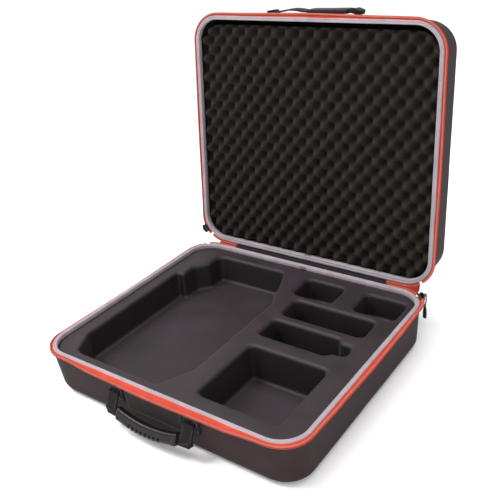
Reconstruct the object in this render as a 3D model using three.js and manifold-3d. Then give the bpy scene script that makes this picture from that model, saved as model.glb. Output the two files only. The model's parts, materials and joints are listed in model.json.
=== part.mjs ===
// Drone carrying case: a moulded, fabric-covered shell in two halves that a zip joins on three
// sides and a webbing hinge joins at the back. The base holds a pocketed foam tray, the lid holds
// a profiled foam sheet, and each half has its own handle on the front wall.
//
// Millimetres. +X runs along the hinge, -Y is the handle side, +Z is up. The origin is the centre
// of the base's underside. Both halves are drawn in the same local frame: z = 0 is the plane of
// the rim, the half goes down to z = -depth, and the hinge is on the +Y side. A distance n is
// measured outward from the inner edge of the rim's binding.

import * as THREE from "three";
import { mergeVertices } from "three/addons/utils/BufferGeometryUtils.js";
import Module from "manifold-3d";

// Driving dimensions
const INNER_WIDTH = 400;
const INNER_DEPTH = 372;
const INNER_RADIUS = 36;
const BASE_DEPTH = 69;
const LID_DEPTH = 62;
const LID_OPEN_ANGLE = 93.75;
const HINGE_OFFSET = 11.4;

// Moulded shell
const SHELL_THICKNESS = 4;
const SHELL_OUTSET = 6.2;
const SHELL_TOP = -2.3;
const DRAFT_START = -10;
const DRAFT = 0.12;
const CORNER_GROWTH = 0.1;
const RIGHT_SPREAD = 0.1;
const SHELL_FILLET = 15;
const FILLET_STEPS = 6;
const FIT_GAP = 0.4;

// Zip
const ZIP_CORNER_END = 50;
const REAR_ZIP_START = 56;
const REAR_ZIP_END_X = 140;
const ZIP_STOP_GAP = 0.6;
const ZIP_STOP_LENGTH = 2.8;
const HINGE_LEAF_GAP = 4;
const COIL_RADIUS = 1.5;
const COIL_OUTSET = 12.2;
const COIL_DROP = -2.2;

// Foam tray
const TRAY_TOP = -6;
const TRAY_EDGE = -0.5;
const TRAY_EDGE_BOTTOM = -22;
const TRAY_SHOULDER = 3;
const POCKET_DRAFT = 0.05;
const POCKET_FLOOR_FILLET = 2;
const POCKET_LIP = 3;
const POCKET_RADIUS = 9;

// Lid foam
const LID_PAD_TOP = -28;
const LID_FOAM_TOP = -7;
const LID_FOAM_EDGE = 1.5;
const LID_FOAM_RADIUS = 46;
const LID_FOAM_HANDLE_GAP = 8;

// Handles
const ANCHOR_X = 62;
const ANCHOR_WIDTH = 26;
const ANCHOR_THICKNESS = 2;
const STRAP_THICKNESS = 2.4;

// Colours
const CHARCOAL = "#4e4648";
const TRAY_GREY = "#3c3538";
const FOAM_GREY = "#47423f";
const BINDING_GREY = "#c9bcc3";
const ZIP_RED = "#e8654f";
const BLACK = "#1f1c1c";

const CORNER_X = INNER_WIDTH / 2 - INNER_RADIUS;
const CORNER_Y = INNER_DEPTH / 2 - INNER_RADIUS;
const HINGE_Y = INNER_DEPTH / 2 + HINGE_OFFSET;

const wasm = await Module();
wasm.setup();

function radians(degrees) {
  return (degrees * Math.PI) / 180;
}

// ---------------------------------------------------------------- solids from loops

/** Makes a geometry from points and triangles, with its faces turned outward. */
function solidGeometry(points, triangles) {
  let volume = 0;
  for (const [a, b, c] of triangles) {
    volume += points[a].dot(new THREE.Vector3().crossVectors(points[b], points[c]));
  }
  const facing = volume < 0 ? triangles.map(([a, b, c]) => [a, c, b]) : triangles;
  const geometry = new THREE.BufferGeometry();
  const positions = points.flatMap((point) => point.toArray());
  geometry.setAttribute("position", new THREE.Float32BufferAttribute(positions, 3));
  geometry.setIndex(facing.flat());
  geometry.computeVertexNormals();
  return geometry;
}

/** Joins rings of equal length one after the other. The ends are capped unless it closes. */
function loft(rings, closed = false) {
  const size = rings[0].length;
  const points = rings.flat();
  const triangles = [];
  const spans = closed ? rings.length : rings.length - 1;
  for (let r = 0; r < spans; r += 1) {
    const next = (r + 1) % rings.length;
    for (let i = 0; i < size; i += 1) {
      const j = (i + 1) % size;
      triangles.push([r * size + i, r * size + j, next * size + j]);
      triangles.push([r * size + i, next * size + j, next * size + i]);
    }
  }
  if (!closed) {
    triangles.push(...capTriangles(rings[0], 0, true));
    triangles.push(...capTriangles(rings.at(-1), points.length - size, false));
  }
  return solidGeometry(points, triangles);
}

/** Triangulates a flat ring that may be concave. */
function capTriangles(ring, offset, flip) {
  const normal = new THREE.Vector3();
  for (let i = 0; i < ring.length; i += 1) {
    const next = ring[(i + 1) % ring.length];
    normal.add(new THREE.Vector3().crossVectors(ring[i], next));
  }
  const plane = new THREE.Quaternion();
  plane.setFromUnitVectors(normal.normalize(), new THREE.Vector3(0, 0, 1));
  const flat = ring.map((point) => {
    const turned = point.clone().applyQuaternion(plane);
    return new THREE.Vector2(turned.x, turned.y);
  });
  return THREE.ShapeUtils.triangulateShape(flat, []).map(([a, b, c]) =>
    flip ? [offset + a, offset + c, offset + b] : [offset + a, offset + b, offset + c],
  );
}

/** Evenly spaced values from start to end, both included, about a step apart. */
function anglesBetween(start, end, step) {
  const count = Math.max(1, Math.round(Math.abs(end - start) / step));
  return Array.from({ length: count + 1 }, (_, i) => start + ((end - start) * i) / count);
}

/** Places along the inner edge of the rim, turning clockwise between two corner angles. */
function rimStations(start, end, step = 11.25) {
  const stations = [];
  let angle = start;
  while (angle > end) {
    const quarterEnd = Math.max(end, Math.ceil(angle / 90 - 1 - 1e-9) * 90);
    const middle = radians((angle + quarterEnd) / 2);
    const centre = new THREE.Vector2(
      Math.sign(Math.cos(middle)) * CORNER_X,
      Math.sign(Math.sin(middle)) * CORNER_Y,
    );
    for (const turn of anglesBetween(angle, quarterEnd, step)) {
      const out = new THREE.Vector2(Math.cos(radians(turn)), Math.sin(radians(turn)));
      stations.push({ at: centre.clone().addScaledVector(out, INNER_RADIUS), out });
    }
    angle = quarterEnd;
  }
  return stations;
}

/** Runs a section of [n, z] points along rim stations. */
function sweepRim(section, stations, closed = false) {
  const rings = stations.map(({ at, out }) =>
    section.map(([n, z]) => new THREE.Vector3(at.x + n * out.x, at.y + n * out.y, z)),
  );
  return loft(rings, closed);
}

/**
 * The rim's outline pushed out by n, at height z. Below the rim the corners get rounder and the
 * right wall keeps nearly upright.
 */
function rimRing(n, z) {
  const stations = rimStations(360, 0);
  const drop = Math.max(0, DRAFT_START - z);
  const growth = CORNER_GROWTH * drop;
  return stations.map(({ at, out }) => {
    const radius = Math.max(INNER_RADIUS + n + growth, 2);
    const centre = at.clone().addScaledVector(out, -INNER_RADIUS);
    const shift = n - (radius - INNER_RADIUS);
    const spread = centre.x > 0 ? RIGHT_SPREAD * drop : 0;
    const x = centre.x + Math.sign(centre.x) * shift + radius * out.x + spread;
    const y = centre.y + Math.sign(centre.y) * shift + radius * out.y;
    return new THREE.Vector3(x, y, z);
  });
}

/** Heights and offsets of the wall, from the floor up, at a depth inside the outer skin. */
function wallSection(depth, inside, top) {
  const slope = Math.atan(DRAFT);
  const fillet = SHELL_FILLET - inside;
  const centreZ = -depth + SHELL_FILLET;
  const drop = DRAFT_START - centreZ;
  const centreN = SHELL_OUTSET - DRAFT * drop - SHELL_FILLET / Math.cos(slope);
  const section = anglesBetween(-90, -THREE.MathUtils.radToDeg(slope), 90 / FILLET_STEPS).map(
    (turn) => [
      centreN + fillet * Math.cos(radians(turn)),
      centreZ + fillet * Math.sin(radians(turn)),
    ],
  );
  section.push([SHELL_OUTSET - inside, DRAFT_START], [SHELL_OUTSET - inside, top]);
  return section;
}

/** Mirrors a geometry front to back and keeps its faces outward. */
function mirrored(geometry, axis) {
  const copy = geometry.clone();
  const flip = new THREE.Vector3(1, 1, 1);
  flip[axis] = -1;
  copy.scale(flip.x, flip.y, flip.z);
  const index = copy.getIndex().array;
  for (let i = 0; i < index.length; i += 3) {
    [index[i], index[i + 1]] = [index[i + 1], index[i]];
  }
  copy.computeVertexNormals();
  return copy;
}

// ---------------------------------------------------------------- cuts and joins

function toManifold(geometry) {
  const bare = geometry.clone();
  bare.deleteAttribute("normal");
  bare.deleteAttribute("uv");
  const merged = mergeVertices(bare, 1e-4);
  const mesh = new wasm.Mesh({
    numProp: 3,
    vertProperties: new Float32Array(merged.getAttribute("position").array),
    triVerts: new Uint32Array(merged.getIndex().array),
  });
  return new wasm.Manifold(mesh);
}

function fromManifold(manifold) {
  const mesh = manifold.getMesh();
  const geometry = new THREE.BufferGeometry();
  const positions = new Float32Array(mesh.vertProperties);
  geometry.setAttribute("position", new THREE.BufferAttribute(positions, 3));
  geometry.setIndex(new THREE.BufferAttribute(new Uint32Array(mesh.triVerts), 1));
  geometry.computeVertexNormals();
  return geometry;
}

function cut(body, ...tools) {
  const result = tools.reduce((left, tool) => left.subtract(toManifold(tool)), toManifold(body));
  return fromManifold(result);
}

function join(...pieces) {
  const [first, ...rest] = pieces.map(toManifold);
  return fromManifold(rest.reduce((sum, piece) => sum.add(piece), first));
}

// ---------------------------------------------------------------- outlines

/** Moves each side of a polygon out by a distance. */
function offsetCorners(corners, distance) {
  const count = corners.length;
  return corners.map((corner, i) => {
    const before = new THREE.Vector2().subVectors(corner, corners.at(i - 1)).normalize();
    const after = new THREE.Vector2().subVectors(corners[(i + 1) % count], corner).normalize();
    const bisector = new THREE.Vector2(before.y + after.y, -before.x - after.x).normalize();
    const reach = distance / Math.max(0.3, bisector.dot(new THREE.Vector2(before.y, -before.x)));
    return corner.clone().addScaledVector(bisector, reach);
  });
}

/** A polygon's outline at height z with every corner rounded. */
function roundedRing(corners, radius, z, steps = 4) {
  const count = corners.length;
  return corners.flatMap((corner, i) => {
    const back = new THREE.Vector2().subVectors(corners.at(i - 1), corner);
    const on = new THREE.Vector2().subVectors(corners[(i + 1) % count], corner);
    const half = back.angleTo(on) / 2;
    const room = 0.45 * Math.min(back.length(), on.length());
    const reach = Math.min(radius / Math.tan(half), room);
    const start = corner.clone().addScaledVector(back.normalize(), reach);
    const end = corner.clone().addScaledVector(on.normalize(), reach);
    const arc = new THREE.QuadraticBezierCurve(start, corner, end);
    return arc.getPoints(steps).map((point) => new THREE.Vector3(point.x, point.y, z));
  });
}

function rectangle(left, right, front, back) {
  return [[left, front], [right, front], [right, back], [left, back]].map(
    ([x, y]) => new THREE.Vector2(x, y),
  );
}

// ---------------------------------------------------------------- pieces of one half

const BINDING_SECTION = [
  [0.3, -9], [0.3, -2.4], [1.1, -0.9], [2.4, -0.4], [5.8, -0.4], [7.1, -0.9],
  [7.9, -2.4], [7.9, -7.5], [6.5, -7.5], [6.5, -2], [1.9, -2], [1.9, -9],
];
const TAPE_SECTION = [[8.2, -2.6], [10.4, -3], [10.4, -4.2], [8.2, -4.2]];
const REAR_TAPE_SECTION = [[8.2, -0.6], [11, -0.6], [11, -2.2], [8.2, -2.6]];
const HINGE_LEAF_SECTION = [
  [8.2, -0.6], [11, -0.6], [11, -1.8], [9.4, -1.8], [9.4, -22], [8.2, -22],
];
const STOP_SECTION = [[8.4, -0.6], [11, -0.6], [11, -2.4], [8.4, -2.4]];

function shellGeometry(depth) {
  const outer = wallSection(depth, 0, SHELL_TOP);
  const inner = wallSection(depth, SHELL_THICKNESS, SHELL_TOP).reverse();
  return loft([...outer, ...inner].map(([n, z]) => rimRing(n, z)));
}

function coilSection() {
  return anglesBetween(0, 315, 45).map((turn) => [
    COIL_OUTSET + COIL_RADIUS * Math.cos(radians(turn)),
    COIL_DROP + COIL_RADIUS * Math.sin(radians(turn)),
  ]);
}

/** A stretch of the straight rear edge, between two values of x. */
function rearStations(fromX, toX) {
  return [fromX, toX].map((x) => ({
    at: new THREE.Vector2(x, INNER_DEPTH / 2),
    out: new THREE.Vector2(0, 1),
  }));
}

function rearTapeGeometry() {
  const [start] = rearStations(REAR_ZIP_END_X, REAR_ZIP_END_X);
  return sweepRim(REAR_TAPE_SECTION, [start, ...rimStations(90, REAR_ZIP_START)]);
}

/** Everything that both halves share, as name and geometry pairs. */
function halfPieces(depth) {
  const zipRun = rimStations(ZIP_CORNER_END, -180 - ZIP_CORNER_END);
  const leafEnd = REAR_ZIP_END_X - HINGE_LEAF_GAP;
  return {
    shell: shellGeometry(depth),
    binding: sweepRim(BINDING_SECTION, rimStations(360, 0), true),
    zipper_tape: sweepRim(TAPE_SECTION, zipRun),
    zipper_coil: sweepRim(coilSection(), zipRun),
    rear_tape_right: rearTapeGeometry(),
    rear_tape_left: mirrored(rearTapeGeometry(), "x"),
    hinge_leaf: sweepRim(HINGE_LEAF_SECTION, rearStations(leafEnd, -leafEnd)),
  };
}

const FINISHES = {
  shell: { color: CHARCOAL, roughness: 0.75, metalness: 0 },
  binding: { color: BINDING_GREY, roughness: 0.7, metalness: 0 },
  zipper_tape: { color: ZIP_RED, roughness: 0.8, metalness: 0 },
  zipper_coil: { color: ZIP_RED, roughness: 0.45, metalness: 0 },
  rear_tape_right: { color: ZIP_RED, roughness: 0.8, metalness: 0 },
  rear_tape_left: { color: ZIP_RED, roughness: 0.8, metalness: 0 },
  tray: { color: TRAY_GREY, roughness: 0.95, metalness: 0 },
  foam: { color: FOAM_GREY, roughness: 1, metalness: 0 },
  webbing: { color: BLACK, roughness: 0.85, metalness: 0 },
  rubber: { color: BLACK, roughness: 0.5, metalness: 0 },
  metal: { color: BLACK, roughness: 0.4, metalness: 0.6 },
};

function addPiece(group, name, geometry, finish) {
  const mesh = new THREE.Mesh(geometry, new THREE.MeshStandardMaterial(finish));
  mesh.name = name;
  group.add(mesh);
  return mesh;
}

// ---------------------------------------------------------------- foam tray

const DRONE_POCKET = [
  [-157, -167], [-12, -168], [11, -118], [11, 75], [-2, 100], [-5, 120], [-22, 163],
  [-147, 162], [-148, 130], [-164, 110], [-165, 81], [-177, 81], [-176, -126],
];
const SLOT_WITH_NOSE = [
  [39, -7], [142, -7], [150, 2], [163, 2], [168, 8], [168, 21], [163, 27], [150, 27],
  [142, 36], [39, 36],
];
const POCKETS = [
  { corners: DRONE_POCKET.map(([x, y]) => new THREE.Vector2(x, y)), depth: 44, steps: 3 },
  { corners: SLOT_WITH_NOSE.map(([x, y]) => new THREE.Vector2(x, y)), depth: 40, steps: 2 },
  { corners: rectangle(39, 168, 53, 98), depth: 40, steps: 4 },
  { corners: rectangle(24, 88, 112, 163), depth: 36, steps: 4 },
  { corners: rectangle(123, 187, 112, 163), depth: 36, steps: 4 },
  { corners: rectangle(45, 164, -157, -35), depth: 52, steps: 4 },
];

/** The space a pocket takes out of the tray: drafted walls, a soft lip and a small floor fillet. */
function pocketTool({ corners, depth, steps }) {
  const floor = TRAY_TOP - depth;
  const levels = [
    [floor, -POCKET_DRAFT * depth - POCKET_FLOOR_FILLET],
    [floor + POCKET_FLOOR_FILLET, -POCKET_DRAFT * depth],
    [TRAY_TOP - POCKET_LIP, 0],
    [TRAY_TOP - POCKET_LIP * 0.3, POCKET_LIP * 0.3],
    [TRAY_TOP, POCKET_LIP],
    [TRAY_TOP + 1, POCKET_LIP],
  ];
  return loft(
    levels.map(([z, out]) => roundedRing(offsetCorners(corners, out), POCKET_RADIUS, z, steps)),
  );
}

function trayGeometry() {
  const wall = wallSection(BASE_DEPTH, SHELL_THICKNESS + FIT_GAP, SHELL_TOP).slice(0, -2);
  const section = [
    ...wall,
    [TRAY_EDGE, TRAY_EDGE_BOTTOM],
    [TRAY_EDGE, TRAY_TOP - TRAY_SHOULDER],
    [TRAY_EDGE - TRAY_SHOULDER * 0.3, TRAY_TOP - TRAY_SHOULDER * 0.3],
    [TRAY_EDGE - TRAY_SHOULDER, TRAY_TOP],
  ];
  const block = loft(section.map(([n, z]) => rimRing(n, z)));
  return cut(block, ...POCKETS.map(pocketTool));
}

// ---------------------------------------------------------------- lid foam

function lidPadGeometry() {
  const wall = wallSection(LID_DEPTH, SHELL_THICKNESS + FIT_GAP, SHELL_TOP).slice(0, -2);
  const lower = wall.filter(([, z]) => z < LID_PAD_TOP);
  const section = [...lower, [lower.at(-1)[0], LID_PAD_TOP]];
  return loft(section.map(([n, z]) => rimRing(n, z)));
}

/** The profiled sheet as a plain block. It stops short of the wall on the handle side. */
function lidFoamGeometry() {
  const halfX = INNER_WIDTH / 2 - LID_FOAM_EDGE;
  const halfY = INNER_DEPTH / 2 - LID_FOAM_EDGE;
  const corners = rectangle(-halfX, halfX, -halfY + LID_FOAM_HANDLE_GAP, halfY);
  const levels = [LID_PAD_TOP + FIT_GAP, LID_FOAM_TOP];
  return loft(levels.map((z) => roundedRing(corners, LID_FOAM_RADIUS, z, 8)));
}

// ---------------------------------------------------------------- handles

const BASE_ANCHOR_TOP = -10;
const BASE_ANCHOR_BOTTOM = -35;
const PATCH_BOTTOM = -46;
const PATCH_THICKNESS = 1;
const PIVOT_N = 10;
const PIVOT_Z = -22;
const HANDLE_LEAN = 25;
const GRIP_HALF_LENGTH = 51;
const GRIP_NEAR = 22;
const GRIP_BOW = 7;
const GRIP_WIDTH = 20;
const GRIP_HEIGHT = 13;
const BAND_WIDTH = 14;
const ARM_WIDTH = 22;
const ARM_START = -2;
const ARM_CORNER = 6;
const SLEEVE_GAP = 0.4;
const NOTCH_COUNT = 8;
const NOTCH_PITCH = 7;
const NOTCH_WIDTH = 3;
const NOTCH_CUT = 4;

/** Distance of the outer wall from the binding's inner edge, at height z. */
function wallOutset(z) {
  return SHELL_OUTSET - DRAFT * Math.max(0, DRAFT_START - z);
}

/** A flat piece that lies on the front wall between two heights. */
function wallPatch(top, bottom, thickness, lift) {
  const outer = lift + thickness;
  const section = [[top, lift], [bottom, lift], [bottom, outer], [top, outer]];
  return section.map(([z, n]) => [wallOutset(z) + n, z]);
}

/** Runs an [n, z] section across the front wall between two values of x. */
function acrossFront(section, fromX, toX) {
  const stations = [toX, fromX].map((x) => ({
    at: new THREE.Vector2(x, -INNER_DEPTH / 2),
    out: new THREE.Vector2(0, -1),
  }));
  return sweepRim(section, stations);
}

function anchorGeometry(side, top, bottom) {
  const section = wallPatch(top, bottom, ANCHOR_THICKNESS, FIT_GAP);
  const inner = side * (ANCHOR_X - ANCHOR_WIDTH / 2);
  const outer = side * (ANCHOR_X + ANCHOR_WIDTH / 2);
  return acrossFront(section, Math.min(inner, outer), Math.max(inner, outer));
}

/** How far the middle of the grip's band is from the pivot line, at x. */
function gripReach(x) {
  return GRIP_NEAR + GRIP_BOW * (1 - (x / GRIP_HALF_LENGTH) ** 2);
}

/** Runs a closed outline of [across, up] points along the grip's bow. */
function alongGrip(outline, halfLength, step, scaleAt = () => 1) {
  const rings = anglesBetween(-halfLength, halfLength, step).map((x) => {
    const scale = scaleAt(x);
    return outline.map(([a, b]) => new THREE.Vector3(x, gripReach(x) + a * scale, b * scale));
  });
  return loft(rings);
}

function boxOutline(width, height) {
  const a = width / 2;
  const b = height / 2;
  return [[-a, -b], [a, -b], [a, b], [-a, b]];
}

function gripStrapGeometry() {
  const outerX = ANCHOR_X + ARM_WIDTH / 2;
  const innerX = ANCHOR_X - ARM_WIDTH / 2;
  const near = GRIP_NEAR - BAND_WIDTH / 2;
  const far = GRIP_NEAR + BAND_WIDTH / 2;
  const shape = new THREE.Shape();
  shape.moveTo(-outerX, ARM_START);
  shape.lineTo(-outerX, far - ARM_CORNER);
  shape.quadraticCurveTo(-outerX, far, -innerX, far);
  shape.quadraticCurveTo(0, far + 2 * GRIP_BOW, innerX, far);
  shape.quadraticCurveTo(outerX, far, outerX, far - ARM_CORNER);
  shape.lineTo(outerX, ARM_START);
  shape.lineTo(innerX, ARM_START);
  shape.lineTo(innerX, near);
  shape.quadraticCurveTo(0, near + 2 * GRIP_BOW, -innerX, near);
  shape.lineTo(-innerX, ARM_START);
  const geometry = new THREE.ExtrudeGeometry(shape, {
    depth: STRAP_THICKNESS,
    bevelEnabled: false,
    curveSegments: 12,
  });
  geometry.translate(0, 0, -STRAP_THICKNESS / 2);
  return geometry;
}

function gripGeometry() {
  const outline = anglesBetween(0, 337.5, 22.5).map((turn) => {
    const c = Math.cos(radians(turn));
    const s = Math.sin(radians(turn));
    const across = (Math.sign(c) * Math.abs(c) ** 0.7 * GRIP_WIDTH) / 2;
    return [across, (Math.sign(s) * Math.abs(s) ** 0.7 * GRIP_HEIGHT) / 2];
  });
  const half = GRIP_HALF_LENGTH - 1.5;
  const body = alongGrip(outline, half, 5, (x) => 1 - 0.12 * (x / half) ** 6);
  const slit = boxOutline(BAND_WIDTH + 3 * SLEEVE_GAP, STRAP_THICKNESS + 2 * SLEEVE_GAP);
  const channel = alongGrip(slit, half + 8, 5);
  const first = (-(NOTCH_COUNT - 1) / 2) * NOTCH_PITCH;
  const notches = Array.from({ length: NOTCH_COUNT }, (_, i) => {
    const x = first + i * NOTCH_PITCH;
    const notch = new THREE.BoxGeometry(NOTCH_WIDTH, NOTCH_CUT, GRIP_HEIGHT + 2);
    notch.translate(x, gripReach(x) + GRIP_WIDTH / 2, 0);
    return notch;
  });
  return cut(body, channel, ...notches);
}

const LID_HANDLE_Z = -23;
const LID_STRAP_WIDTH = 24;
const LID_STRAP_STEPS = 36;
const LID_WRAP_WALL = 2;
const LID_STRAP_LINE = [
  [-74, 10.2], [-60, 11], [-46, 13.8], [-34, 15.4], [-22, 14.8], [-10, 13.4], [20, 13.4],
  [50, 14.2], [62, 14.4], [70, 12.4], [76, 10.2],
];
const LID_WRAP_SPAN = [-6, 60];

/** A band that runs along the lid's front wall, following the strap's line of [x, n] points. */
function alongLidStrap(width, thickness, fromX, toX) {
  const line = LID_STRAP_LINE.map(
    ([x, n]) => new THREE.Vector3(x, -INNER_DEPTH / 2 - n, LID_HANDLE_Z),
  );
  const curve = new THREE.CatmullRomCurve3(line);
  const rings = curve
    .getPoints(LID_STRAP_STEPS)
    .map((point, i) => ({ point, along: curve.getTangent(i / LID_STRAP_STEPS) }))
    .filter(({ point }) => point.x >= fromX && point.x <= toX)
    .map(({ point, along }) => {
      const up = new THREE.Vector3(along.y, -along.x, 0).multiplyScalar(thickness / 2);
      const side = new THREE.Vector3(0, 0, width / 2);
      return [
        point.clone().add(up).add(side),
        point.clone().sub(up).add(side),
        point.clone().sub(up).sub(side),
        point.clone().add(up).sub(side),
      ];
    });
  return loft(rings);
}

function lidWrapGeometry() {
  const [from, to] = LID_WRAP_SPAN;
  const wall = 2 * LID_WRAP_WALL;
  const gap = 2 * SLEEVE_GAP;
  const sleeve = alongLidStrap(LID_STRAP_WIDTH + wall, STRAP_THICKNESS + wall, from, to);
  const channel = alongLidStrap(LID_STRAP_WIDTH + gap, STRAP_THICKNESS + gap, from - 8, to + 8);
  return cut(sleeve, channel);
}

// ---------------------------------------------------------------- zip sliders and pulls

const SLIDER_SECTION = [
  [9.2, -2.2], [10.4, -2.2], [10.4, -0.35], [14.1, -0.35], [14.1, -4.6], [15.7, -4.6],
  [15.7, 3.2], [14.1, 3.2], [14.1, 0.35], [10.4, 0.35], [10.4, 2.2], [9.2, 2.2],
];
const SLIDER_HALF_TURN = 8.3;
const SLIDER_PLATE_N = 14.9;
const BRIDGE_N = 18.5;
const BRIDGE_HALF = 4;
const BRIDGE_BAR = 1;
const CORD_GAUGE = 1.6;
const PULL_LENGTH = 38;

/** Slider body, drawn with the corner's centre at the origin and the rim's outward way along +X. */
function sliderGeometry() {
  const stations = anglesBetween(SLIDER_HALF_TURN, -SLIDER_HALF_TURN, 6).map((turn) => {
    const out = new THREE.Vector2(Math.cos(radians(turn)), Math.sin(radians(turn)));
    return { at: out.clone().multiplyScalar(INNER_RADIUS), out };
  });
  const body = sweepRim(SLIDER_SECTION, stations);
  const plate = INNER_RADIUS + SLIDER_PLATE_N;
  const reach = INNER_RADIUS + BRIDGE_N - plate + BRIDGE_BAR / 2;
  const posts = [-1, 1].map((side) => {
    const post = new THREE.BoxGeometry(reach, BRIDGE_BAR, BRIDGE_BAR);
    post.translate(plate + reach / 2, side * BRIDGE_HALF, 0);
    return post;
  });
  const bar = new THREE.BoxGeometry(BRIDGE_BAR, 2 * BRIDGE_HALF + BRIDGE_BAR, BRIDGE_BAR);
  bar.translate(INNER_RADIUS + BRIDGE_N, 0, 0);
  return join(body, ...posts, bar);
}

/** A cord looped round the bridge's bar, drawn hanging along -Z from the bar at the origin. */
function pullCordGeometry() {
  const outer = BRIDGE_BAR * 0.8 + CORD_GAUGE;
  const shape = new THREE.Shape();
  shape.absarc(0, 0, outer, 0, Math.PI, false);
  shape.lineTo(-outer, -12);
  shape.quadraticCurveTo(-1.6, -16, -1.6, -20);
  shape.lineTo(1.6, -20);
  shape.quadraticCurveTo(outer, -16, outer, -12);
  const eye = new THREE.Path();
  eye.absarc(0, 0, outer - CORD_GAUGE, 0, Math.PI, false);
  eye.lineTo(-0.7, -12);
  eye.lineTo(0.7, -12);
  shape.holes.push(eye);
  const geometry = new THREE.ExtrudeGeometry(shape, {
    depth: CORD_GAUGE,
    bevelEnabled: false,
    curveSegments: 8,
  });
  geometry.translate(0, 0, -CORD_GAUGE / 2);
  geometry.rotateX(Math.PI / 2);
  return geometry;
}

/** The moulded end of the pull, below the cord. */
function pullTabGeometry() {
  const profile = [
    [-20.4, 2.2, 1.6], [-22, 3, 2], [-30, 3.3, 2.1], [-36, 3.4, 2], [-PULL_LENGTH, 2.4, 1.4],
  ];
  const rings = profile.map(([z, half, thick]) => {
    const turns = anglesBetween(0, 330, 30).map(radians);
    return turns.map((t) => new THREE.Vector3(thick * Math.cos(t), half * Math.sin(t), z));
  });
  return loft(rings);
}

/** A slider with its pull, at a turn along a rear corner's arc. */
function addSlider(half, side, name, { centre, turn, pullTurn }) {
  const slider = new THREE.Group();
  slider.position.set(centre.x, centre.y, 0);
  slider.rotation.z = radians(turn);
  half.add(slider);
  addPiece(slider, `${name}_${side}`, sliderGeometry(), FINISHES.metal);
  const pull = new THREE.Group();
  pull.position.set(INNER_RADIUS + BRIDGE_N, 0, 0);
  pull.rotation.y = -radians(pullTurn);
  slider.add(pull);
  addPiece(pull, `pull_cord_${side}`, pullCordGeometry(), FINISHES.webbing);
  addPiece(pull, `pull_tab_${side}`, pullTabGeometry(), FINISHES.rubber);
}

// ---------------------------------------------------------------- assembly

const base = new THREE.Group();
base.position.z = BASE_DEPTH;
for (const [name, geometry] of Object.entries(halfPieces(BASE_DEPTH))) {
  addPiece(base, `base_${name}`, geometry, FINISHES[name] ?? FINISHES.webbing);
}
addPiece(base, "foam_tray", trayGeometry(), FINISHES.tray);
for (const [side, sign] of [["right", 1], ["left", -1]]) {
  const stopEnds = [ZIP_STOP_GAP, ZIP_STOP_GAP + ZIP_STOP_LENGTH].map(
    (back) => sign * (REAR_ZIP_END_X - back),
  );
  const stop = sweepRim(STOP_SECTION, rearStations(...stopEnds));
  addPiece(base, `zip_stop_${side}`, stop, FINISHES.metal);
  const anchor = anchorGeometry(sign, BASE_ANCHOR_TOP, BASE_ANCHOR_BOTTOM);
  addPiece(base, `base_anchor_${side}`, anchor, FINISHES.webbing);
}
const patchEdge = ANCHOR_X - ANCHOR_WIDTH / 2 - 1;
const patchSection = wallPatch(BASE_ANCHOR_TOP, PATCH_BOTTOM, PATCH_THICKNESS, FIT_GAP);
addPiece(base, "handle_patch", acrossFront(patchSection, -patchEdge, patchEdge), FINISHES.webbing);

const handle = new THREE.Group();
handle.position.set(0, -INNER_DEPTH / 2 - PIVOT_N, PIVOT_Z);
handle.rotation.x = -radians(90 + HANDLE_LEAN);
addPiece(handle, "grip_strap", gripStrapGeometry(), FINISHES.webbing);
addPiece(handle, "rubber_grip", gripGeometry(), FINISHES.rubber);
base.add(handle);

const cornerRight = new THREE.Vector2(CORNER_X, CORNER_Y);
addSlider(base, "right", "slider", { centre: cornerRight, turn: 45, pullTurn: 0 });

// The lid is the base's mirror image front to back, laid open flat behind the hinge and then
// turned up about the hinge line.
const lid = new THREE.Group();
lid.position.set(0, HINGE_Y, BASE_DEPTH);
lid.rotation.x = radians(180 - LID_OPEN_ANGLE);
const lidHalf = new THREE.Group();
lidHalf.position.y = HINGE_Y;
lid.add(lidHalf);
const lidAnchorTop = LID_HANDLE_Z + LID_STRAP_WIDTH / 2;
const lidAnchorBottom = LID_HANDLE_Z - LID_STRAP_WIDTH / 2;
const lidPieces = {
  ...halfPieces(LID_DEPTH),
  foam_pad: lidPadGeometry(),
  egg_crate_foam: lidFoamGeometry(),
  anchor_right: anchorGeometry(1, lidAnchorTop, lidAnchorBottom),
  anchor_left: anchorGeometry(-1, lidAnchorTop, lidAnchorBottom),
};
const LID_FINISHES = { ...FINISHES, foam_pad: FINISHES.foam, egg_crate_foam: FINISHES.foam };
for (const [name, geometry] of Object.entries(lidPieces)) {
  addPiece(lidHalf, `lid_${name}`, mirrored(geometry, "y"), LID_FINISHES[name] ?? FINISHES.webbing);
}
const lidStrap = alongLidStrap(LID_STRAP_WIDTH, STRAP_THICKNESS, -Infinity, Infinity);
addPiece(lidHalf, "lid_strap", mirrored(lidStrap, "y"), FINISHES.webbing);
addPiece(lidHalf, "strap_wrap", mirrored(lidWrapGeometry(), "y"), FINISHES.webbing);
const cornerLeft = new THREE.Vector2(-CORNER_X, -CORNER_Y);
addSlider(lidHalf, "left", "slider", { centre: cornerLeft, turn: 180 + 35, pullTurn: 20 });

const carryingCase = new THREE.Group();
carryingCase.add(base, lid);

export default carryingCase;
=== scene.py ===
import json
import math
import random

import bmesh
import bpy
import numpy as np
from mathutils import Matrix, Vector
from mathutils.geometry import delaunay_2d_cdt


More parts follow.
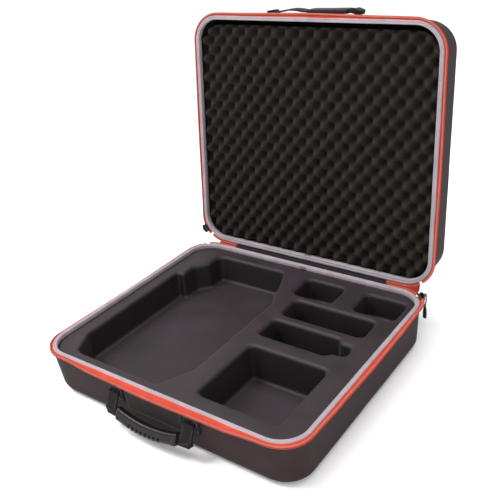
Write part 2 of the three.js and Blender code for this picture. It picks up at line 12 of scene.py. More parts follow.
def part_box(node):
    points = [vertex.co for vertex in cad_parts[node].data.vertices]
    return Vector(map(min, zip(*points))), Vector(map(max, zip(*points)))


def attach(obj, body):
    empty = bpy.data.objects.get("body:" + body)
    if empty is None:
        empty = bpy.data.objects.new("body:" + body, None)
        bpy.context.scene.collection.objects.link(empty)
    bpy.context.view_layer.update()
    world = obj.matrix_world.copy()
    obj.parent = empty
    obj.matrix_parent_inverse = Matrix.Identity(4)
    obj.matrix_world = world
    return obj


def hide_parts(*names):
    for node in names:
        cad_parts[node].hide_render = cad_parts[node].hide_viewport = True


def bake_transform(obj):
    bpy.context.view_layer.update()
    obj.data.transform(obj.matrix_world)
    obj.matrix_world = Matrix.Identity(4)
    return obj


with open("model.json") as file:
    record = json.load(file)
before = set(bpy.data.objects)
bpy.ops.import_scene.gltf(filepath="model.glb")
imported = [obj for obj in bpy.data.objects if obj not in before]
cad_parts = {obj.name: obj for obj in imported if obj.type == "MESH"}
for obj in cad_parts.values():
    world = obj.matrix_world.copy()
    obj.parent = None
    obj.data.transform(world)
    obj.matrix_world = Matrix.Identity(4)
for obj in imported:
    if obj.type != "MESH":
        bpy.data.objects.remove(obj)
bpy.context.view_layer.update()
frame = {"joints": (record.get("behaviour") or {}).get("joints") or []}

# Drone carrying case: two moulded, fabric-covered halves on a webbing hinge, with a bound and
# zipped rim, a velour-covered foam tray in the base, profiled foam in the lid and two handles.
#
# Shapes are worked out in millimetres in the frame of one half, as the case's pattern is drawn:
# z = 0 is the plane of the rim, the half goes down from it, the hinge side is +Y, and n is the
# distance outward from the inner edge of the rim's binding. Placement turns them to the shared
# frame of the whole case, in metres.

JOINTS = {joint["name"]: joint for joint in frame["joints"]}

MM = 0.001
INNER_WIDTH = 400
INNER_DEPTH = 372
INNER_RADIUS = 36
CORNER_X = INNER_WIDTH / 2 - INNER_RADIUS
CORNER_Y = INNER_DEPTH / 2 - INNER_RADIUS
HINGE = Vector(JOINTS["lid_hinge"]["pos_m"]) / MM
LID_TURN = math.radians(JOINTS["lid_hinge"]["range_deg"][1])
BASE_DEPTH = HINGE.z
LID_DEPTH = 62
WELD = 0.02 * MM


# ------------------------------------------------------------------ placement

def on_base():
    return Matrix.Scale(MM, 4) @ Matrix.Translation((0, 0, BASE_DEPTH))


def on_lid(mirrored=True):
    """The lid is the base's pattern mirrored front to back and turned up about the hinge line."""
    turned = Matrix.Scale(MM, 4) @ Matrix.Translation(HINGE) @ Matrix.Rotation(LID_TURN, 4, "X")
    opened = turned @ Matrix.Translation((0, HINGE.y, 0))
    return opened @ Matrix.Diagonal((1, -1, 1, 1)) if mirrored else opened


def moved(points, matrix):
    array = np.array(matrix)
    return points @ array[:3, :3].T + array[:3, 3]


# ------------------------------------------------------------------ shapes

def angles(start, end, count):
    return np.radians(np.linspace(start, end, count))


def power(value, exponent):
    """A power that keeps the sign. Below 1 it squares up a circle's sine and cosine."""
    return np.sign(value) * np.abs(value) ** exponent


def spans(start, end, step):
    return np.linspace(start, end, max(2, int(round(abs(end - start) / step)) + 1))


def loft(rings, closed_along=False, capped=True):
    """Joins rings of equal length.

    Returns points, faces, and each point's place along and across for the weave.
    """
    rings = np.asarray(rings, float)
    count, size = rings.shape[:2]
    centres = rings.mean(axis=1)
    along = np.r_[0, np.cumsum(np.linalg.norm(np.diff(centres, axis=0), axis=1))]
    across = np.r_[0, np.cumsum(np.linalg.norm(np.diff(rings[count // 2], axis=0), axis=1))]
    threads = np.stack(np.broadcast_arrays(along[:, None], across[None, :], 0 * across), axis=2)
    faces = []
    for r in range(count if closed_along else count - 1):
        after = (r + 1) % count
        for i in range(size):
            j = (i + 1) % size
            faces.append((r * size + i, r * size + j, after * size + j, after * size + i))
    if capped and not closed_along:
        faces.append(tuple(range(size)))
        faces.append(tuple(reversed(range((count - 1) * size, count * size))))
    return rings.reshape(-1, 3), faces, threads.reshape(-1, 3)


def joined(shapes):
    """Several shapes as one."""
    points, faces, threads = [], [], []
    start = 0
    for shape_points, shape_faces, shape_threads in shapes:
        points.append(shape_points)
        threads.append(shape_threads)
        faces += [tuple(start + i for i in face) for face in shape_faces]
        start += len(shape_points)
    return np.concatenate(points), faces, np.concatenate(threads)


def build(name, shape, matrix, material, weld=None):
    """A mesh object from a shape, with its thread coordinates kept for the weave."""
    points, faces, threads = shape
    mesh = bpy.data.meshes.new(name)
    mesh.from_pydata(moved(points, matrix).tolist(), [], faces)
    layer = mesh.attributes.new("thread", "FLOAT_VECTOR", "POINT")
    layer.data.foreach_set("vector", (threads * MM).astype(np.float32).ravel())
    work = bmesh.new()
    work.from_mesh(mesh)
    if weld:
        bmesh.ops.remove_doubles(work, verts=work.verts, dist=weld)
    bmesh.ops.recalc_face_normals(work, faces=work.faces)
    for face in work.faces:
        face.smooth = True
    work.to_mesh(mesh)
    work.free()
    mesh.materials.append(material)
    made = bpy.data.objects.new(name, mesh)
    bpy.context.scene.collection.objects.link(made)
    return made


def piece(name, shape, matrix, body, material, replaced=(), weld=None):
    made = build(name, shape, matrix, material, weld)
    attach(made, body)
    if replaced:
        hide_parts(*replaced)
    return made


def keep_crisp(made, degrees):
    """Keeps edges sharper than an angle crisp in a smooth-shaded piece."""
    made.data.set_sharp_from_angle(angle=math.radians(degrees))


# ------------------------------------------------------------------ the rim's line

def rim_line(s, offset):
    """Points at arc length s along the rim's line at an offset, clockwise from mid-rear.

    Returns the inner edge's points and the outward directions, so that a section can be run.
    """
    radius = INNER_RADIUS + offset
    turn = radius * math.pi / 2
    lengths = [CORNER_X, turn, 2 * CORNER_Y, turn, 2 * CORNER_X, turn, 2 * CORNER_Y, turn, CORNER_X]
    ends = np.cumsum([0] + lengths)
    s = np.mod(np.asarray(s, float), ends[-1])
    part = np.clip(np.searchsorted(ends, s, side="right") - 1, 0, len(lengths) - 1)
    share = (s - ends[part]) / np.asarray(lengths)[part]
    is_corner = part % 2 == 1
    side = part // 2
    facing = 90 - 90 * side
    angle = np.radians(np.where(is_corner, facing - 90 * share, facing))
    out = np.stack([np.cos(angle), np.sin(angle)], axis=1)
    # The line is its centres, which run straight from corner to corner, pushed out by the radius.
    centres = np.array([[0, 1], [1, 1], [1, -1], [-1, -1], [-1, 1], [0, 1]]) * [CORNER_X, CORNER_Y]
    straight = centres[side] + (centres[side + 1] - centres[side]) * share[:, None]
    centre = np.where(is_corner[:, None], centres[np.minimum(side + 1, 4)], straight)
    return centre + INNER_RADIUS * out, out


def rim_length(offset):
    return 4 * (CORNER_X + CORNER_Y) + 2 * math.pi * (INNER_RADIUS + offset)


def corner_end(offset, corner, angle):
    """Arc length at an angle in degrees, 90 to 0, into one of the corners, clockwise."""
    turn = (INNER_RADIUS + offset) * math.pi / 2
    before = [CORNER_X, CORNER_X + 2 * CORNER_Y, 3 * CORNER_X + 2 * CORNER_Y,
              3 * CORNER_X + 4 * CORNER_Y][corner]
    return before + turn * (corner + (90 - angle) / 90)


def run_rim(s, offset, section):
    """Runs a section of (n, z) points, which may differ from ring to ring, along the rim."""
    at, out = rim_line(s, offset)
    section = np.broadcast_to(section, (len(s),) + np.shape(section)[-2:])
    flat = at[:, None, :] + section[:, :, :1] * out[:, None, :]
    return np.concatenate([flat, section[:, :, 1:]], axis=2)


def wander(s, seed, size, wavelength, period):
    """A smooth unevenness along a closed line, from a few sine waves."""
    chance = random.Random(seed)
    total = np.zeros_like(np.asarray(s, float))
    for _ in range(5):
        turns = max(1, round(period / (wavelength * chance.uniform(0.6, 1.6))))
        total += np.sin(2 * np.pi * turns * np.asarray(s) / period + chance.uniform(0, 6.28))
    return size * total / 2.2


# ------------------------------------------------------------------ materials

def linear(hex_colour):
    """An sRGB hex colour as a linear RGBA value."""
    parts = [int(hex_colour[i:i + 2], 16) / 255 for i in (1, 3, 5)]
    return (*(p / 12.92 if p <= 0.04045 else ((p + 0.055) / 1.055) ** 2.4 for p in parts), 1)


def add(tree, kind, inputs=None, **settings):
    """Adds a node with its settings, and gives each input a value or a link."""
    made = tree.nodes.new("ShaderNode" + kind)
    for name, value in settings.items():
        setattr(made, name, value)
    for name, value in (inputs or {}).items():
        if isinstance(value, bpy.types.Node):
            value = value.outputs[0]
        if isinstance(value, bpy.types.NodeSocket):
            tree.links.new(value, made.inputs[name])
        else:
            made.inputs[name].default_value = value
    return made


def new_material(name, **values):
    """A Principled material with constant values on its sockets, and its object coordinates."""
    material = bpy.data.materials.new(name)
    material.use_nodes = True
    tree = material.node_tree
    tree.nodes.clear()
    sockets = {key.replace("_", " ").title().replace("Ior", "IOR"): v for key, v in values.items()}
    shader = add(tree, "BsdfPrincipled", sockets)
    add(tree, "OutputMaterial", {"Surface": shader})
    return material, tree, shader, add(tree, "TexCoord").outputs["Object"]


# A wave texture repeats every pi / 10 units at scale 1.
WAVE_UNIT = math.pi / 10


def finish_surface(tree, shader, colour, rough, height, bump_mm):
    """Links colour and roughness, and raises the surface by the height pattern."""
    tree.links.new(colour, shader.inputs["Base Color"])
    tree.links.new(rough, shader.inputs["Roughness"])
    bump = add(tree, "Bump", {"Height": height, "Strength": 1.0, "Distance": bump_mm * MM})
    tree.links.new(bump.outputs["Normal"], shader.inputs["Normal"])


def two_tone(tree, factor, dark, light):
    return add(tree, "Mix", {0: factor, 6: linear(dark), 7: linear(light)},
               data_type="RGBA").outputs[2]


def ranged(tree, value, low, high):
    return add(tree, "MapRange", {"Value": value, "To Min": low, "To Max": high}).outputs[0]


def summed(tree, first, second, share):
    scaled = add(tree, "Math", {0: second, 1: share}, operation="MULTIPLY")
    return add(tree, "Math", {0: first, 1: scaled}, operation="ADD").outputs[0]


def noise(tree, where, size_mm, detail=3.0, rough=0.55):
    return add(tree, "TexNoise", {"Vector": where, "Scale": 1 / (size_mm * MM),
                                  "Detail": detail, "Roughness": rough}).outputs[0]


def bands(tree, where, pitch_mm, direction):
    return add(tree, "TexWave", {"Vector": where, "Scale": WAVE_UNIT / (pitch_mm * MM)},
               wave_type="BANDS", bands_direction=direction).outputs[1]


def laminated_polyester():
    """Moulded shell cover: fine polyester cloth bonded to foam board, matt with a soft sheen."""
    material, tree, shader, where = new_material(
        "laminated_polyester", ior=1.5, specular_ior_level=0.1, sheen_weight=0.01,
        sheen_roughness=0.5)
    # Yarns lie 0.5 mm apart on the real cloth. They are drawn at 1.7 mm, which is as fine as shows.
    weave = add(tree, "Math", {0: bands(tree, where, 1.7, "DIAGONAL"),
                               1: noise(tree, where, 0.9, 2.0)}, operation="MULTIPLY")
    patches = noise(tree, where, 38, 4.0)
    tone = summed(tree, patches, weave, 0.22)
    finish_surface(tree, shader, two_tone(tree, tone, "#1f1718", "#33282b"),
                   ranged(tree, patches, 0.62, 0.78), weave, 0.12)
    return material


def lining_cloth():
    """Inside face of the shell: brushed nylon lining, nearly black."""
    material, tree, shader, where = new_material(
        "lining_cloth", ior=1.5, specular_ior_level=0.2)
    fuzz = noise(tree, where, 1.2)
    finish_surface(tree, shader, two_tone(tree, fuzz, "#0e0c0c", "#191617"),
                   ranged(tree, fuzz, 0.85, 0.95), fuzz, 0.1)
    return material


def velour():
    """Tray cover: short-pile velour formed over foam, with pile that lies in soft patches."""
    material, tree, shader, where = new_material(
        "velour", ior=1.45, specular_ior_level=0.4, sheen_weight=0.2, sheen_roughness=0.35,
        sheen_tint=linear("#b9a6ad"))
    pile = noise(tree, where, 0.8, 2.0, 0.6)
    lay = noise(tree, where, 46, 3.0, 0.5)
    # Painted shade: the pocket walls, which face away from straight up, are painted darker than the
    # level faces, as shade would fall on them.
    facing = add(tree, "SeparateXYZ", {0: add(tree, "TexCoord").outputs["Normal"]}).outputs[2]
    painted_wall_shade = add(tree, "MapRange", {"Value": facing, "From Min": 0.1, "From Max": 0.9,
                                      "To Min": 0.1, "To Max": 1.0}).outputs[0]
    tone = add(tree, "Math", {0: summed(tree, lay, pile, 0.25), 1: painted_wall_shade},
               operation="MULTIPLY").outputs[0]
    finish_surface(tree, shader, two_tone(tree, tone, "#0b0807", "#2c2127"),
                   ranged(tree, lay, 0.5, 0.68), pile, 0.1)
    return material


def open_cell_foam():
    """Lid lining: cut profiled polyether foam, open-celled and matt, with painted shade in its
    hollows.
    """
    material, tree, shader, where = new_material(
        "open_cell_foam", ior=1.4, specular_ior_level=0.15)
    # Cells are 0.7 mm across on the real foam and are drawn at 1.1 mm.
    cells = add(tree, "TexVoronoi", {"Vector": where, "Scale": 1 / (1.1 * MM)}).outputs[0]
    cloud = noise(tree, where, 14)
    height = add(tree, "Attribute", attribute_name="thread")
    lift = add(tree, "SeparateXYZ", {0: height.outputs["Vector"]}).outputs[2]
    # Painted shade and light: over the profile's 14 mm of stored height the colour runs from dark
    # in the pits to lighter on the tips.
    painted_height_shade = add(tree, "MapRange", {"Value": lift, "From Min": -19 * MM, "From Max": -5 * MM,
                                  "To Min": 0.0, "To Max": 0.8}).outputs[0]
    tone = summed(tree, painted_height_shade, cloud, 0.25)
    finish_surface(tree, shader, two_tone(tree, tone, "#100d0c", "#2c2724"),
                   ranged(tree, cloud, 0.9, 1.0), cells, 0.25)
    return material


def woven_tape(name, dark, light, pitch_mm, sheen, raised_mm):
    """Narrow woven polyester: ribs of yarn across the tape, with a fine grain along it."""
    material, tree, shader, where = new_material(
        name, ior=1.5, specular_ior_level=0.15, sheen_weight=sheen, sheen_roughness=0.4)
    thread = add(tree, "Attribute", attribute_name="thread").outputs["Vector"]
    ribs = bands(tree, thread, pitch_mm, "X")
    yarn = noise(tree, where, 0.8)
    soil = noise(tree, where, 22, 4.0)
    tone = summed(tree, soil, ribs, 0.35)
    relief = summed(tree, ribs, yarn, 0.4)
    finish_surface(tree, shader, two_tone(tree, tone, dark, light),
                   ranged(tree, yarn, 0.6, 0.8), relief, raised_mm)
    return material


def nylon_coil():
    """Zip teeth: drawn nylon monofilament in orange-red, semi-gloss, with the dye varying in
    patches.
    """
    material, tree, shader, where = new_material(
        "nylon_coil", ior=1.53, coat_weight=0.15, coat_roughness=0.25)
    dye = noise(tree, where, 9)
    grain = noise(tree, where, 0.6)
    finish_surface(tree, shader, two_tone(tree, dye, "#a84a3a", "#c26653"),
                   ranged(tree, grain, 0.34, 0.5), grain, 0.03)
    return material


def moulded_rubber():
    """Grip and pulls: injection-moulded thermoplastic rubber, spark-eroded satin skin."""
    material, tree, shader, where = new_material(
        "moulded_rubber", ior=1.52, specular_ior_level=0.25)
    spark = noise(tree, where, 0.7, 2.0, 0.7)
    bloom = noise(tree, where, 12, 4.0)
    finish_surface(tree, shader, two_tone(tree, bloom, "#0d0b0c", "#1b1719"),
                   ranged(tree, bloom, 0.3, 0.42), spark, 0.05)
    return material


def lighter_rib_rubber():
    """Ribs of the grip: the same thermoplastic rubber, coloured a lighter grey."""
    material, tree, shader, where = new_material("lighter_rib_rubber", ior=1.52)
    scuffs = noise(tree, where, 2.5, 4.0, 0.7)
    finish_surface(tree, shader, two_tone(tree, scuffs, "#2c2729", "#4e484a"),
                   ranged(tree, scuffs, 0.3, 0.5), scuffs, 0.03)
    return material


def painted_zinc():
    """Sliders and stops: die-cast zinc in black stove enamel, with edges worn a little brighter."""
    material, tree, shader, where = new_material(
        "painted_zinc", ior=1.5, metallic=0.35, coat_weight=0.5, coat_roughness=0.15)
    peel = noise(tree, where, 1.5)
    worn = add(tree, "NewGeometry").outputs["Pointiness"]
    edge = add(tree, "MapRange", {"Value": worn, "From Min": 0.52, "From Max": 0.62}).outputs[0]
    finish_surface(tree, shader, two_tone(tree, edge, "#121112", "#4a4644"),
                   ranged(tree, peel, 0.25, 0.4), peel, 0.03)
    return material


def spun_thread(name, dark, light):
    """Sewing thread: three-ply bonded polyester with a tight twist."""
    material, tree, shader, where = new_material(name, ior=1.5, sheen_weight=0.3)
    ply = bands(tree, where, 0.7, "DIAGONAL")
    finish_surface(tree, shader, two_tone(tree, ply, dark, light),
                   ranged(tree, ply, 0.5, 0.65), ply, 0.08)
    return material


SHELL_CLOTH = laminated_polyester()
LINING = lining_cloth()
VELOUR = velour()
FOAM = open_cell_foam()
BINDING_TAPE = woven_tape("binding_tape", "#6f666b", "#9d9399", 1.6, 0.15, 0.1)
ZIP_TAPE = woven_tape("zip_tape", "#86291f", "#bf4330", 1.4, 0.1, 0.12)
# The closed zip's tape is the same red zip tape painted darker, as painted shade between the two
# halves.
SHADED_ZIP_TAPE = woven_tape("shut_zip_tape_painted_shade", "#5a1a14", "#8a3024", 1.4, 0.05, 0.12)
WEBBING = woven_tape("ribbed_webbing", "#070606", "#141112", 1.8, 0.05, 0.2)
HINGE_CLOTH = woven_tape("hinge_webbing", "#100e0e", "#1f1c1c", 2.0, 0.05, 0.2)
PANEL_CLOTH = woven_tape("ballistic_nylon", "#13110f", "#24211e", 1.5, 0.05, 0.15)
COIL = nylon_coil()
RUBBER = moulded_rubber()
LIGHTER_RIB_RUBBER = lighter_rib_rubber()
ZINC = painted_zinc()
GREY_THREAD = spun_thread("grey_thread", "#8d838c", "#c9bfc8")
BLACK_THREAD = spun_thread("black_thread", "#1c1a1b", "#4a4546")


# ------------------------------------------------------------------ shell halves

SHELL_OUTSET = 6.2
SHELL_THICKNESS = 4
SHELL_TOP = -2.3
DRAFT_START = -10
DRAFT = 0.12
CORNER_GROWTH = 0.1
RIGHT_SPREAD = 0.1
SHELL_FILLET = 15
PANEL_CROWN = 1.2


def wall_profile(depth, inside):
    """(n, z) from the middle of the closed side, round the fillet and up the drafted wall."""
    slope = math.atan(DRAFT)
    fillet = SHELL_FILLET - inside
    centre_z = SHELL_FILLET - depth
    centre_n = SHELL_OUTSET - DRAFT * (DRAFT_START - centre_z) - SHELL_FILLET / math.cos(slope)
    bottom_z = centre_z - fillet
    # The panel keeps a flat margin and is dished a little inside it.
    panel = [(n, bottom_z + PANEL_CROWN * min(1, max(0, (-n - 34) / 60)) ** 0.6)
             for n in np.linspace(-INNER_DEPTH / 2 + 8, centre_n - 1.5, 12)]
    curve = [(centre_n + fillet * math.cos(a), centre_z + fillet * math.sin(a))
             for a in np.linspace(-math.pi / 2, -slope, 13)]
    start_n, start_z = curve[-1]
    top_n = SHELL_OUTSET - inside
    wall = [(start_n + (top_n - start_n) * t, start_z + (DRAFT_START - start_z) * t)
            for t in np.linspace(0, 1, 9)[1:]]
    return panel + curve + wall + [(top_n, z) for z in (-8, -6, -4, SHELL_TOP)]


def shell_stations():
    """Arc lengths round the rim: 14 mm apart on the straights and closer in the corners."""
    stations = [0.0]
    for corner in range(4):
        stations += list(spans(stations[-1], corner_end(0, corner, 90), 14)[1:])
        stations += list(corner_end(0, corner, np.linspace(90, 0, 13))[1:])
    return np.array(stations + list(spans(stations[-1], rim_length(0), 14)[1:-1]))


SHELL_STATIONS = shell_stations()


def shell_ring(n, z):
    """One level of the shell: the rim's outline pushed out by n, with corners that grow below."""
    at, out = rim_line(SHELL_STATIONS, 0)
    drop = max(0, DRAFT_START - z)
    growth = CORNER_GROWTH * drop
    radius = max(INNER_RADIUS + n + growth, 2)
    centre = at - INNER_RADIUS * out
    limit = np.array([CORNER_X, CORNER_Y])
    shift = n - (radius - INNER_RADIUS)
    corner_point = centre * (limit + shift) / limit
    corner_point[:, 0] += np.where(centre[:, 0] > 1, RIGHT_SPREAD * drop, 0)
    soft = wander(SHELL_STATIONS, 3, 0.16, 120, rim_length(0)) * min(1, max(0, -z / 20))
    flat = corner_point + (radius + soft[:, None]) * out
    return np.concatenate([flat, np.full((len(flat), 1), z)], axis=1)


def shell_shape(depth):
    outer = [shell_ring(n, z) for n, z in wall_profile(depth, 0)]
    inner = [shell_ring(n, z) for n, z in reversed(wall_profile(depth, SHELL_THICKNESS))]
    return loft(outer + inner)


def make_shell(half, matrix, depth):
    shell = piece(f"{half}_shell_cover", shell_shape(depth), matrix, half, SHELL_CLOTH,
                  [f"{half}_shell"])
    # The inner face, from the top edge inward, wears the lining.
    shell.data.materials.append(LINING)
    profile = len(wall_profile(depth, 0))
    size = len(SHELL_STATIONS)
    for index, polygon in enumerate(shell.data.polygons):
        if min(polygon.vertices) >= (profile - 1) * size:
            polygon.material_index = 1


# ------------------------------------------------------------------ bound and zipped rim

STITCH_PITCH = 3.4
STITCH_LENGTH = 2.5
BINDING_LINE = 2.8
COIL_LINE = 12
HINGE_SIDE_WIDENING = 0.22

# The line of each half's zip: share of the way round from mid-rear, clockwise, then how far out
# and how far down the coil lies. The tape is tight at the corners and slack between them, most of
# all at the base's front, and the base's left side has rolled under the rim.
ZIP_LINES = {
    "base": [(0.1, 11.8, -2), (0.13, 11.8, -2), (0.155, 9.4, -1.9), (0.2, 10.8, -2.8),
             (0.25, 11.4, -3.2), (0.31, 10.4, -2.6), (0.345, 9.5, -1.9), (0.37, 12.2, -1.8),
             (0.395, 10.2, -2.2), (0.43, 13, -4), (0.5, 14.2, -4.8), (0.56, 12.6, -3.8),
             (0.6, 9.6, -2), (0.63, 9.2, -2.2), (0.66, 9.1, -3.4), (0.75, 9.2, -4.6),
             (0.84, 9.2, -3.4), (0.87, 9.6, -2.4), (0.9, 11.6, -2)],
    "lid": [(0.1, 9.4, -2), (0.155, 8.6, -2.2), (0.25, 9.6, -2.4), (0.345, 8.6, -2.2),
            (0.38, 8.6, -2.2), (0.42, 9.2, -2.2), (0.5, 10.8, -2.6), (0.58, 9.2, -2.2),
            (0.63, 8.6, -2.2), (0.75, 9.8, -2.4), (0.84, 8.8, -2.2), (0.875, 11.8, -2),
            (0.9, 11.8, -2)],
}


def zip_line(half, share):
    """How far out and how far down a half's coil lies, eased between the listed places."""
    places, outsets, drops = np.array(ZIP_LINES[half]).T
    share = np.clip(share, places[0], places[-1] - 1e-6)
    k = np.searchsorted(places, share, side="right") - 1
    t = (share - places[k]) / (places[k + 1] - places[k])
    t = t * t * (3 - 2 * t)
    return (outsets[k] + (outsets[k + 1] - outsets[k]) * t,
            drops[k] + (drops[k + 1] - drops[k]) * t)


def rim_lean(s, length):
    """How far the sewn edge wanders in or out along the rim."""
    return wander(s / length * rim_length(0), 8, 0.06, 90, rim_length(0))


def binding_breadth(s, length):
    """Breadth of the binding: widest along the hinge side, easing to 1 in the rear corners."""
    t = np.clip((CORNER_X + 28 - np.minimum(s % length, -s % length)) / 40, 0, 1)
    return 1 + HINGE_SIDE_WIDENING * t * t * (3 - 2 * t)


def binding_shape():
    """Tape folded over the rim: two soft ridges with the stitching line sunk between them.

    On the hinge side it is wider, because it also covers the edge of the hinge's webbing.
    """
    length = rim_length(BINDING_LINE)
    # The ends overlap at mid-rear, where one lies on the other.
    s = spans(-6, length + 6, 2.4)
    pucker = wander(s, 5, 0.16, 9, length)
    lean = rim_lean(s, length)
    under = np.clip((6 - s) / 10, 0, 1)
    rings = []
    for puck, side, low, wide in zip(pucker, lean, under, binding_breadth(s, length)):
        sink = 0.35 * low
        outer = [(0.3, -9), (-0.2, -6), (-0.35, -3), (-0.1, -1.6), (0.4, -0.75 - sink),
                 (1.1, -0.4 - sink + puck), (1.8, -0.6 - sink), (2.3, -1.1 - sink),
                 (2.8, -1.3 - sink), (3.3, -1.1 - sink), (3.8, -0.6 - sink),
                 (4.5, -0.4 - sink + puck), (5.2, -0.75 - sink), (5.9, -1.45), (6.7, -2.2),
                 (6.9, -4), (6.9, -7.4)]
        inner = [(6.4, -7.4), (6.35, -3), (6.2, -2.1), (1.9, -2.1), (1.2, -3), (1.1, -9)]
        rings.append([(n * (wide if n > 0 else 1) + side, z) for n, z in outer + inner])
    return loft(run_rim(s, BINDING_LINE, np.array(rings)))


def capsule_row(starts, ends, ups, radius, arch):
    """One short arched length of thread for each pair of points."""
    shapes = []
    turns = np.linspace(0, 2 * np.pi, 7)[:-1]
    levels = [(0.0, 0.45), (0.18, 1.0), (0.5, 1.05), (0.82, 1.0), (1.0, 0.45)]
    for start, end, up in zip(starts, ends, ups):
        along = (end - start) / np.linalg.norm(end - start)
        side = np.cross(along, up)
        rings = []
        for t, width in levels:
            centre = start + (end - start) * t + up * arch * math.sin(math.pi * t)
            rings.append([centre + radius * width * (math.cos(a) * side + math.sin(a) * up)
                          for a in turns])
        shapes.append(loft(rings))
    return joined(shapes)


def rim_stitches():
    length = rim_length(BINDING_LINE)
    first = np.arange(0, length - STITCH_LENGTH, STITCH_PITCH)
    s = np.stack([first, first + STITCH_LENGTH], axis=1).ravel()
    line = BINDING_LINE * binding_breadth(s, length) + rim_lean(s, length)
    section = np.stack([line, np.full(len(s), -1.2)], axis=1)[:, None, :]
    ends = run_rim(s, BINDING_LINE, section)[:, 0]
    up = np.tile([0.0, 0.0, 1.0], (len(first), 1))
    return capsule_row(ends[0::2], ends[1::2], up, 0.36, 0.12)


# The open zip ends at this angle into each rear corner, and the closed tail starts at the other.
OPEN_ZIP_TURN = 50
TAIL_TURN = 56
TAIL_END_X = 137.6
# The left slider has been pulled further on, so this share of that corner is open.
LEFT_OPEN_SHARE = 0.35
WEB_DRAWN_IN = 0.8


def zip_span():
    """Start, end and full length of a half's open zip. It runs round all but the hinge side."""
    length = rim_length(COIL_LINE)
    start = corner_end(COIL_LINE, 0, OPEN_ZIP_TURN)
    return start, length - start, length


def zip_tape_shape(half):
    start, end, length = zip_span()
    s = spans(start, end, 4)
    out, drop = zip_line(half, s / length)
    wave = wander(s, 21, 0.08, 38, length)
    rings = []
    for n, z, w, side in zip(out, drop, wave, rim_lean(s, length)):
        middle = (6.9 + n - 1.3) / 2
        trough = (z - 3.2) / 2 - 0.4 + w
        top = [(5.6 + side, -1.25), (6.5, -1.9), (middle, trough), (n - 1.3, z - 1.1),
               (n, z - 1.3), (n + 1.2, z - 1.2), (n + 1.8, z - 0.9)]
        rings.append(top + [(n + 1.8, z - 1.5), (n + 1.2, z - 1.9), (n, z - 2), (n - 1.4, z - 1.8),
                            (middle, trough - 0.7), (6.6, -2.9), (5.6 + side, -2)])
    return loft(run_rim(s, COIL_LINE, np.array(rings)))


def wound(s, phase, out, drop, radius_n, radius_z, strand):
    """One strand wound along the rim about a line, and the cord that it is wound on."""
    rings = []
    for corner in angles(0, 270, 4):
        across, along = strand * math.cos(corner), strand * math.sin(corner)
        rings.append(np.stack([out + (radius_n + across) * np.cos(phase),
                               drop + (radius_z + across) * np.sin(phase),
                               np.full(len(s), along)], axis=1))
    rings = np.stack(rings, axis=1)
    at, facing = rim_line(s, COIL_LINE)
    onward = np.stack([facing[:, 1], -facing[:, 0]], axis=1)
    flat = at[:, None] + rings[:, :, :1] * facing[:, None] + rings[:, :, 2:] * onward[:, None]
    coil = loft(np.concatenate([flat, rings[:, :, 1:2]], axis=2))
    every = slice(None, None, 24)
    core = [[(n + radius_n * 0.75 * math.cos(a), z + radius_z * 0.7 * math.sin(a))
             for a in angles(0, 315, 8)] for n, z in zip(out[every], drop[every])]
    return joined([coil, loft(run_rim(s[every], COIL_LINE, np.array(core)))])


# Turns of the coil are 1.6 mm apart, drawn with eight points a turn.
COIL_PITCH = 1.6
COIL_STEPS = 8


def coil_shape(half):
    start, end, length = zip_span()
    s = np.arange(start, end, COIL_PITCH / COIL_STEPS)
    out, drop = zip_line(half, s / length)
    return wound(s, 2 * np.pi * s / COIL_PITCH, out, drop, 1.35, 1.15, 0.42)


def tail_spans():
    """The two closed tails of the zip, each from its corner to near the hinge's webbing."""
    length = rim_length(COIL_LINE)
    turned = corner_end(COIL_LINE, 0, TAIL_TURN)
    return {"right": (TAIL_END_X, turned), "left": (length - turned, length - TAIL_END_X)}


def tail_tape_shape(start, end):
    s = spans(start, end, 3)
    wave = wander(s, 31, 0.15, 20, rim_length(COIL_LINE))
    rings = [[(6.3, -2.9), (7.3, -2.9), (8.6, -2.5 + w), (9.9, -1.7), (11, -0.9), (11.2, -1.3),
              (10, -2.3), (8.6, -3.1 + w), (7.3, -3.5), (6.3, -3.5)] for w in wave]
    return loft(run_rim(s, COIL_LINE, np.array(rings)))


def tail_coil_shape(start, end):
    s = np.arange(start, end, COIL_PITCH / COIL_STEPS)
    phase = 2 * np.pi * s / COIL_PITCH
    return wound(s, phase, np.full(len(s), 10.3), np.full(len(s), -1.05), 0.6, 0.55, 0.35)


def tail_web_shape(side, columns=9):
    """The closed zip round a rear corner: tape drawn taut from one half's rim to the other's."""
    start, end = tail_spans()[side]
    if side == "left":
        start += LEFT_OPEN_SHARE * (end - start)
    s = spans(start, end, 3)
    places = []
    for n, z in ((10.9, -1.2), (10.9, -2)):
        ring = run_rim(s, COIL_LINE, np.array([[(n, z)]]))[:, 0]
        places.append((moved(ring, on_base()) / MM, moved(ring, on_lid()) / MM))
    share = np.linspace(0, 1, columns)[None, :, None]
    faces_of_tape = []
    for low, high in places:
        sheet = low[:, None] * (1 - share) + high[:, None] * share
        # The slack between the halves is drawn in towards the hinge line.
        pull = WEB_DRAWN_IN * np.sin(np.pi * share[..., 0])
        for axis, line in ((1, HINGE.y), (2, HINGE.z)):
            sheet[..., axis] += (line - sheet[..., axis]) * pull
        faces_of_tape.append(sheet)
    front, back = faces_of_tape
    return loft(np.concatenate([front, back[:, ::-1]], axis=1))


def make_tail_web(side):
    # The web takes the darker copy of the zip tape: painted shade between the rims.
    web = build(f"closed_zip_web_{side}", tail_web_shape(side), Matrix.Scale(MM, 4), SHADED_ZIP_TAPE)
    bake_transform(web)


# Webbing hinge: one leaf of a folded strip up each rear wall, meeting its twin on the hinge line.
HINGE_HALF = 138.4
HINGE_SECTION = [(8.9, -22), (8.9, -6), (9.2, -3.4), (10, -1.5), (10.7, -0.2), (11.1, 0.45),
                 (11.7, 0.45), (12.05, 0), (11.8, -0.7), (11.1, -2.2), (10.5, -4), (10.3, -6),
                 (10.3, -22), (9.6, -22.5)]


